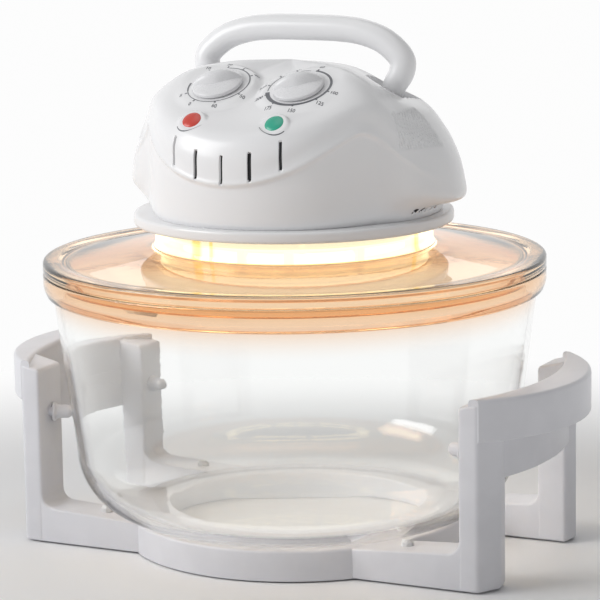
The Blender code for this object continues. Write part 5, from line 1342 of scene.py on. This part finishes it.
@dataclass
class Head:
    """The base ring under the covers, the lamp, the lenses and the printed marks."""

    cover: Cover
    base_radius: float = 0.1048
    base_low: float = 0.2148
    base_top: float = 0.2223
    base_floor: float = 0.0042
    base_land: float = 0.072
    base_hole: float = 0.020
    lamp_radius: float = 0.068
    lamp_tube: float = 0.0045
    lamp_z: float = 0.199
    lamp_gap: float = 16.0
    lens_radius: float = 0.0066
    lens_proud: float = 0.0016
    lens_flange: float = 0.0016
    lens_depth: float = 0.0078
    lens_step: float = 0.0062
    lens_sink: float = 0.0002
    lens_arc: float = 0.0100
    mark_lift: float = 0.00010
    mark_half_turn: float = 1.5
    number_size: float = 0.0036
    number_weight: float = 0.02
    rim_rounds: tuple[float, ...] = (0.0002, 0.0005, 0.0005, 0.0022, 0.0024, 0.0002)

    def build_base(self) -> None:
        """The base ring, turned about Z, with a rounded rim."""
        under = self.base_top - self.base_floor
        corners = [(self.base_hole, under), (self.base_land, under), (self.base_land, self.base_low),
                   (self.base_radius, self.base_low), (self.base_radius, self.base_top),
                   (self.base_hole, self.base_top)]
        skin = Skin("head_rim")
        skin.grid(lathe(rounded(corners, self.rim_rounds, 6), 256), loop=True)
        skin.build([WHITE], Body.HEAD, ("head_base",), slot="white_plastic")

    def build_lamp(self) -> None:
        """The quartz tube: a circle swept round the axis, open at the rear where its block is."""
        end = 180.0 - self.lamp_gap / 2
        angle = np.radians(np.linspace(-end, end, 161))
        around = np.linspace(0.0, 2 * math.pi, 28, endpoint=False)
        radius = self.lamp_radius + self.lamp_tube * np.cos(around)
        height = self.lamp_z + self.lamp_tube * np.sin(around)
        points = np.stack([radius * np.sin(angle)[:, None], -radius * np.cos(angle)[:, None],
                           np.broadcast_to(height, (len(angle), len(around)))], axis=-1)
        skin = Skin("lamp_tube")
        skin.grid(points, cap=True)
        skin.build([LAMP], Body.HEAD, ("lamp_ring",), slot="lamp")

    def lens(self, name: str, side: int, finish: Finish, node: str) -> None:
        """A domed lens in a fine dark ring.

        Args:
            name: the piece's name.
            side: 1 right, -1 left.
            finish: its finish.
            node: the CAD node that it stands for.
        """
        r, sink = self.lens_radius, self.lens_sink
        flange = r + self.lens_flange
        dome = [(r * math.cos(a), (self.lens_proud + 2 * sink) * math.sin(a) - sink)
                for a in np.linspace(0.0, math.pi / 2, 12)]
        profile = np.array([(0.0, -self.lens_depth), (flange, -self.lens_depth), (flange, -self.lens_step),
                            (r, -self.lens_step), *dome])
        skin = Skin(name)
        skin.grid(stand_up(lathe(profile, 72), *self.cover.perch(LENS, side)), cap=True)
        skin.build([finish], Body.HEAD, (node,), slot=finish.name)

    def on_surface(self, x: np.ndarray, y: np.ndarray) -> np.ndarray:
        """Plan points laid on the covers, a hair above them.

        Args:
            x: plan positions.
            y: plan positions.

        Returns:
            Positions.
        """
        return np.stack([x, y, self.cover.height_at(x, y) + self.mark_lift], axis=-1)

    def arc_mark(self, skin: Skin, centre: tuple[float, float], tilt: float, radius: float, start: float,
                 end: float,
                 width: tuple[float, float]) -> None:
        """A printed arc: radius r and angle a in a tilted circle, laid on the covers from above.

        Args:
            skin: the mesh that takes it.
            centre: the circle's plan centre.
            tilt: the circle's tilt in degrees, which foreshortens it along Y.
            radius: its middle radius.
            start: its start in degrees, anticlockwise from +X.
            end: its end.
            width: its width at the start and at the end.
        """
        angle = np.radians(np.linspace(start, end, max(int(abs(end - start) / 3), 4)))
        half = np.linspace(width[0], width[1], len(angle)) / 2
        rows = []
        for offset in (-1.0, 0.0, 1.0):
            r = radius + offset * half
            x = centre[0] + r * np.cos(angle)
            y = centre[1] + r * np.sin(angle) * math.cos(math.radians(tilt))
            rows.append(self.on_surface(x, y))
        skin.grid(np.stack(rows), wrap=False)

    def text_mark(self, skin: Skin, words: str, centre: tuple[float, float], tilt: float, radius: float,
                  angle: float,
                  size: float) -> None:
        """A printed number beside a dial, upright to the reader.

        Args:
            skin: the mesh that takes it.
            words: the number.
            centre: the dial's plan centre.
            tilt: the dial's tilt in degrees.
            radius: how far out its middle is.
            angle: where it is, degrees anticlockwise from +X.
            size: its height.
        """
        curve = bpy.data.curves.new("number", "FONT")
        curve.body = words
        curve.size = size
        curve.align_x = "CENTER"
        curve.align_y = "CENTER"
        curve.resolution_u = 2
        curve.offset = size * self.number_weight
        holder = bpy.data.objects.new("number", curve)
        mesh = holder.to_mesh()
        flat = np.empty(len(mesh.vertices) * 3)
        mesh.vertices.foreach_get("co", flat)
        flat = flat.reshape(-1, 3)
        turn = math.radians(angle)
        lean = math.cos(math.radians(tilt))
        x = centre[0] + radius * math.cos(turn) + flat[:, 0]
        y = centre[1] + (radius * math.sin(turn) + flat[:, 1]) * lean
        triangles = []
        for polygon in mesh.polygons:
            corners = list(polygon.vertices)
            triangles += [(corners[0], corners[i], corners[i + 1]) for i in range(1, len(corners) - 1)]
        skin.points.append(self.on_surface(x, y))
        skin.triangles.append(np.array(triangles) + skin.count)
        skin.count += len(flat)
        holder.to_mesh_clear()
        bpy.data.objects.remove(holder)
        bpy.data.curves.remove(curve)

    def build_marks(self) -> None:
        """Printed scales round both dials and the arcs under the lenses."""
        skin = Skin("printed_scales")
        for scale in SCALES:
            centre = (scale.side * DIAL.x, DIAL.y)
            ticks = [(angle - self.mark_half_turn, angle + self.mark_half_turn) for angle, _ in scale.marks]
            for start, end, width in scale.arcs:
                self.arc_mark(skin, centre, DIAL.tilt, scale.radius, start, end, width)
            for start, end in ticks:
                self.arc_mark(skin, centre, DIAL.tilt, scale.tick_radius, start, end, (scale.tick_width,) * 2)
            for angle, words in scale.marks:
                self.text_mark(skin, words, centre, DIAL.tilt, scale.number_radius, angle, self.number_size)
        for side in (1, -1):
            centre = (side * LENS.x, LENS.y)
            self.arc_mark(skin, centre, LENS.tilt, self.lens_arc, -150, -90, (0.0004, 0.0008))
            self.arc_mark(skin, centre, LENS.tilt, self.lens_arc, -90, -30, (0.0008, 0.0004))
        skin.build([PRINT], Body.HEAD, slot="dark_plastic")

    def build(self) -> None:
        """Build the head's fixed pieces."""
        self.cover.build()
        self.build_base()
        self.build_lamp()
        self.lens("red_pilot", -1, RED_LENS, "power_lens")
        self.lens("green_pilot", 1, GREEN_LENS, "heat_lens")
        self.build_marks()


@dataclass
class Knob:
    """A white dial knob: a low dome with a skirt, and a tapered finger wedge across it."""

    name: str
    node: str
    body: Body
    side: int
    rest_angle: float
    cover: Cover
    lift: float = 0.0037
    radius: float = 0.0165
    skirt: float = 0.0026
    crown: float = 0.0046
    wedge_height: float = 0.0108
    wedge_width: float = 0.0150
    wedge_reach: float = 0.97
    wedge_tip: float = 0.0012
    wedge_taper: float = 0.42

    def dome(self) -> np.ndarray:
        """The knob's turned body.

        Returns:
            Rows x columns x 3 positions round Z.
        """
        r, skirt, crown = self.radius, self.skirt, self.crown
        corners = [(0.0, 0.0), (r, 0.0), (r, skirt * 0.8), (r * 0.94, skirt), (r * 0.6, crown),
                   (0.0, crown * 1.1)]
        shoulder = rounded(corners, [0, 0.0004, 0.0008, 0.0012, 0.004, 0], 5, closed=False)
        return lathe(shoulder, 96)

    def wedge(self) -> np.ndarray:
        """The finger grip: crest h (1 - v^2)^0.8, half width w (1 - |v|^1.5), rounded trapezium sections.

        Returns:
            Rows x columns x 3 positions round Z.
        """
        v = np.sin(np.linspace(-math.pi / 2, math.pi / 2, 61)) * 0.995
        length = self.radius * self.wedge_reach
        crest = self.skirt + (self.wedge_height - self.skirt) * (1 - v**2)**0.8
        half = self.wedge_tip + (self.wedge_width / 2 - self.wedge_tip) * (1 - np.abs(v)**1.5)
        rows = []
        for share, high, wide in zip(v, crest, half):
            low = self.skirt * 0.5
            crown = wide * self.wedge_taper
            corners = [(-wide, low), (wide, low), (crown, high), (-crown, high)]
            edge = max(min(wide * 0.5, (high - low) * 0.4), 0.0001)
            section = rounded(corners, [0.0001, 0.0001, edge, edge], 6)
            rows.append(np.column_stack([section[:, 0], np.full(len(section), share * length),
                                         section[:, 1]]))
        return np.stack(rows)

    def build(self) -> None:
        """Build the knob on its axis."""
        origin, direction = self.cover.perch(DIAL, self.side)
        origin = origin + direction * self.lift
        skin = Skin(self.name)
        for points in (self.dome(), self.wedge()):
            skin.grid(stand_up(points, origin, direction, self.rest_angle), cap=True)
        skin.build([KNOB_WHITE], self.body, (self.node,), sharp=45.0, slot="white_plastic")


@dataclass
class ArchHandle:
    """The round arch handle, leaning back from its two pivots."""

    pivot: tuple[float, float, float] = (0.064, 0.014, 0.2885)
    lean: float = 7.5
    tube: float = 0.0085
    top: float = 0.3475
    spread: float = 0.0735
    eye_radius: float = 0.0085
    eye_width: float = 0.013
    heel_reach: float = 0.0113
    heel_radius: float = 0.003
    fold: float = 48.0
    spread_shares: tuple[float, ...] = (0.871, 0.875, 0.905, 0.958, 0.965, 0.888, 0.745, 0.553, 0.357, 0.163,
                                        0.0)
    height_shares: tuple[float, ...] = (0.10, 0.19, 0.31, 0.45, 0.60, 0.74, 0.875, 0.960, 0.992, 1.0, 1.0)
    radius_shares: tuple[float, ...] = (0.80, 0.85, 0.92, 0.98, 1.0, 1.0, 1.0, 1.0, 1.0, 1.0, 1.0)

    def path(self) -> tuple[np.ndarray, np.ndarray]:
        """The centre line through the stations as a Catmull-Rom curve, and the radius along it.

        Returns:
            Points x 3 and radii.
        """
        lean = math.radians(self.lean)
        rise = (self.top - self.tube - self.pivot[2]) / math.cos(lean)
        spread = np.array(self.spread_shares) * self.spread
        up = np.array(self.height_shares) * rise
        radii = np.array(self.radius_shares) * self.tube
        right = np.column_stack([spread, up, radii])
        left = right[-2::-1] * (-1.0, 1.0, 1.0)
        keys = np.concatenate([[right[0]], right, left, [left[-1]]])
        out = []
        for i in range(1, len(keys) - 2):
            p0, p1, p2, p3 = keys[i - 1:i + 3]
            u = np.linspace(0.0, 1.0, 9, endpoint=False)[:, None]
            out.append(0.5 * (2 * p1 + (p2 - p0) * u + (2 * p0 - 5 * p1 + 4 * p2 - p3) * u**2
                              + (3 * p1 - p0 - 3 * p2 + p3) * u**3))
        flat = np.concatenate(out + [keys[-2][None, :]])
        points = np.column_stack([flat[:, 0], self.pivot[1] + flat[:, 1] * math.sin(lean),
                                  self.pivot[2] + flat[:, 1] * math.cos(lean)])
        return points, flat[:, 2]

    def build(self) -> None:
        """Build the arch with its eyes and the heels that press the switch."""
        points, radii = self.path()
        lean = math.radians(self.lean)
        across = np.array([0.0, -math.cos(lean), math.sin(lean)])
        ahead = np.gradient(points, axis=0)
        ahead = ahead / np.linalg.norm(ahead, axis=1, keepdims=True)
        side = np.cross(ahead, across)
        around = np.linspace(0.0, 2 * math.pi, 44, endpoint=False)
        ring = across * np.cos(around)[:, None]
        spokes = ring[None] + side[:, None, :] * np.sin(around)[None, :, None]
        grid = points[:, None, :] + radii[:, None, None] * spokes
        skin = Skin("carry_handle")
        skin.grid(grid, cap=True)
        fold = math.radians(self.fold)
        for turn in (1, -1):
            start = np.array([turn * (self.pivot[0] - self.eye_width / 2), self.pivot[1], self.pivot[2]])
            r, w = self.eye_radius, self.eye_width
            eye = rounded([(0.0, 0.0), (r, 0.0), (r, w), (0.0, w)], [0, 0.0008, 0.0008, 0], 4, closed=False)
            skin.grid(stand_up(lathe(eye, 48), start, (turn, 0, 0)), cap=True)
            reach = self.heel_reach - self.heel_radius
            heel_at = start + np.array([0.0, reach * math.sin(fold), -reach * math.cos(fold)])
            h = self.heel_radius
            heel = np.array([(0.0, w / 4), (h, w / 4), (h, w * 3 / 4), (0.0, w * 3 / 4)])
            skin.grid(stand_up(lathe(heel, 24), heel_at, (turn, 0, 0)), cap=True)
        skin.build([WHITE], Body.HANDLE, ("arch_handle",), sharp=45.0, slot="white_plastic")


# Carried-over CAD nodes


@dataclass
class CarriedOver:
    """Finishes of the CAD nodes that stay as they are."""

    finishes: dict[str, Finish] = field(default_factory=lambda: {
        "frame_screw": STEEL, "cover_screw": STEEL, "plate_screw": STEEL, "heat_plate": STEEL,
        "motor_shaft": STEEL, "convection_fan": STEEL, "timer_shaft": STEEL, "thermostat_shaft": STEEL,
        "handle_pin": STEEL, "lamp_guard": WARM_STEEL, "lamp_clip": BRASS, "lamp_block": CERAMIC,
        "foot_pad": RUBBER, "bowl_pad": RUBBER, "lid_seal": SILICONE,
        "motor": GREY, "motor_bracket": GREY, "cooling_fan": GREY, "timer_body": GREY,
        "thermostat_body": GREY, "handle_switch": BLACK, "mains_inlet": BLACK, "switch_plunger": RED_PLUNGER,
    })

    def build(self) -> None:
        """Give each kept node the finish of the longest name that it starts with."""
        for name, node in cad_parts.items():
            keys = sorted((key for key in self.finishes if name.startswith(key)), key=len)
            if not keys:
                continue
            material = self.finishes[keys[-1]].material()
            if not node.material_slots:
                LOG.warning("%s has no material slot", name)
            for slot in node.material_slots:
                slot.link = "OBJECT"
                slot.material = material
            LOG.info("%s: finish %s", name, keys[-1])


# Stage


@dataclass
class Studio:
    """Plain pale floor, soft lights, pale surroundings and the camera at the photograph's angle."""

    azimuth: float = 26.5
    distance: float = 1.80
    height: float = 0.4887
    pitch: float = 10.317
    yaw: float = 0.098
    roll: float = -0.898
    lens: float = 166.6
    sensor: float = 36.0
    floor_reach: float = 9.0
    floor_color: tuple[float, float, float] = (0.86, 0.86, 0.865)
    floor_roughness: float = 0.6
    floor_specular: float = 0.2
    fade_start: float = 0.26
    fade_end: float = 0.62
    backdrop: float = 0.98
    surroundings: float = 0.24
    aim_height: float = 0.15
    lights: tuple[tuple[str, float, float, float, float, float], ...] = (
        ("key", -48.0, 1.5, 0.95, 0.9, 15.0), ("fill", 62.0, 1.8, 0.9, 1.4, 0.6),
        ("back", 200.0, 1.5, 1.2, 1.2, 2.5), ("top", 0.0, 0.05, 1.9, 1.2, 4.5))

    def build_floor(self) -> None:
        """A flat floor that fades to plain white away from the object."""
        reach = self.floor_reach
        mesh = bpy.data.meshes.new("floor")
        mesh.from_pydata([(-reach, -reach, 0), (reach, -reach, 0), (reach, reach, 0), (-reach, reach, 0)], [],
                         [(0, 1, 2, 3)])
        floor = bpy.data.objects.new("floor", mesh)
        bpy.context.scene.collection.objects.link(floor)
        mat = bpy.data.materials.new("floor")
        mat.use_nodes = True
        tree = mat.node_tree
        shader = tree.nodes["Principled BSDF"]
        shader.inputs["Base Color"].default_value = (*self.floor_color, 1.0)
        shader.inputs["Roughness"].default_value = self.floor_roughness
        shader.inputs["Specular IOR Level"].default_value = self.floor_specular
        place = tree.nodes.new("ShaderNodeTexCoord")
        length = tree.nodes.new("ShaderNodeVectorMath")
        length.operation = "LENGTH"
        link(tree, place.outputs["Object"], length.inputs[0])
        away = ramp_node(tree, length.outputs["Value"], self.fade_start, self.fade_end)
        light = tree.nodes.new("ShaderNodeEmission")
        light.inputs["Color"].default_value = (1.0, 1.0, 1.0, 1.0)
        light.inputs["Strength"].default_value = self.backdrop
        mix = tree.nodes.new("ShaderNodeMixShader")
        link(tree, away, mix.inputs["Fac"])
        link(tree, shader.outputs["BSDF"], mix.inputs[1])
        link(tree, light.outputs["Emission"], mix.inputs[2])
        link(tree, mix.outputs["Shader"], tree.nodes["Material Output"].inputs["Surface"])
        mesh.materials.append(mat)

    def build_world(self) -> None:
        """White for the camera, mirrors and glass, dimmer for diffuse light."""
        world = bpy.data.worlds.new("surroundings")
        world.use_nodes = True
        bpy.context.scene.world = world
        tree = world.node_tree
        tree.nodes.clear()
        rays = tree.nodes.new("ShaderNodeLightPath")
        bent = math_node(tree, "MAXIMUM", rays.outputs["Is Glossy Ray"], rays.outputs["Is Transmission Ray"])
        seen = math_node(tree, "MAXIMUM", rays.outputs["Is Camera Ray"], bent)
        strength = ramp_node(tree, seen, 0.0, 1.0, self.surroundings, self.backdrop)
        background = tree.nodes.new("ShaderNodeBackground")
        background.inputs["Color"].default_value = (1.0, 1.0, 1.0, 1.0)
        link(tree, strength, background.inputs["Strength"])
        output = tree.nodes.new("ShaderNodeOutputWorld")
        link(tree, background.outputs["Background"], output.inputs["Surface"])

    def light(self, name: str, azimuth: float, distance: float, height: float, size: float,
              power: float) -> None:
        """A square soft light that points at the middle of the object.

        Args:
            name: its name.
            azimuth: degrees from the front.
            distance: plan distance from the axis.
            height: its height.
            size: its side.
            power: its power in watts.
        """
        data = bpy.data.lights.new(name, "AREA")
        data.shape = "SQUARE"
        data.size = size
        data.energy = power
        lamp = bpy.data.objects.new(name, data)
        angle = math.radians(azimuth)
        at = np.array([distance * math.sin(angle), -distance * math.cos(angle), height])
        back = at - np.array([0.0, 0.0, self.aim_height])
        back = back / np.linalg.norm(back)
        side = np.cross([0.0, 0.0, 1.0], back)
        side = side / np.linalg.norm(side)
        up = np.cross(back, side)
        matrix = np.eye(4)
        matrix[:3, 0], matrix[:3, 1], matrix[:3, 2], matrix[:3, 3] = side, up, back, at
        bpy.context.scene.collection.objects.link(lamp)
        lamp.matrix_world = Matrix(matrix.tolist())

    def build_camera(self) -> None:
        """The camera, from its distance, height, pitch, yaw and roll, then turned about Z by the azimuth."""
        p, y, r = (math.radians(v) for v in (self.pitch, self.yaw, self.roll))
        forward = np.array([math.sin(y) * math.cos(p), math.cos(y) * math.cos(p), -math.sin(p)])
        right = np.array([math.cos(y), -math.sin(y), 0.0])
        up = np.cross(right, forward)
        across = right * math.cos(r) + up * math.sin(r)
        upward = -right * math.sin(r) + up * math.cos(r)
        turn = math.radians(self.azimuth)
        c, s = math.cos(turn), math.sin(turn)
        spin = np.array([[c, -s, 0.0], [s, c, 0.0], [0.0, 0.0, 1.0]])
        matrix = np.eye(4)
        matrix[:3, 0], matrix[:3, 1], matrix[:3, 2] = spin @ across, spin @ upward, spin @ -forward
        matrix[:3, 3] = spin @ np.array([0.0, -self.distance, self.height])
        data = bpy.data.cameras.new("camera")
        data.lens = self.lens
        data.sensor_width = self.sensor
        data.clip_end = 60.0
        camera = bpy.data.objects.new("camera", data)
        bpy.context.scene.collection.objects.link(camera)
        camera.matrix_world = Matrix(matrix.tolist())
        bpy.context.scene.camera = camera

    def build(self) -> None:
        """Build the stage."""
        self.build_floor()
        self.build_world()
        for row in self.lights:
            self.light(*row)
        self.build_camera()
        bpy.context.scene.view_settings.view_transform = "Standard"
        bpy.context.scene.view_settings.look = "None"


def main() -> None:
    """Build the object's looks and its stage."""
    logging.basicConfig(level=logging.INFO, format="%(name)s %(message)s")
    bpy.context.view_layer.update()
    cover = Cover()
    Stand().build()
    Glassware().build()
    Head(cover).build()
    Knob("timer_dial", "timer_knob", Body.TIMER, -1, math.radians(-65), cover).build()
    Knob("heat_dial", "thermostat_knob", Body.THERMOSTAT, 1, math.radians(-62), cover).build()
    ArchHandle().build()
    CarriedOver().build()
    Studio().build()


if __name__ == "__main__":
    main()
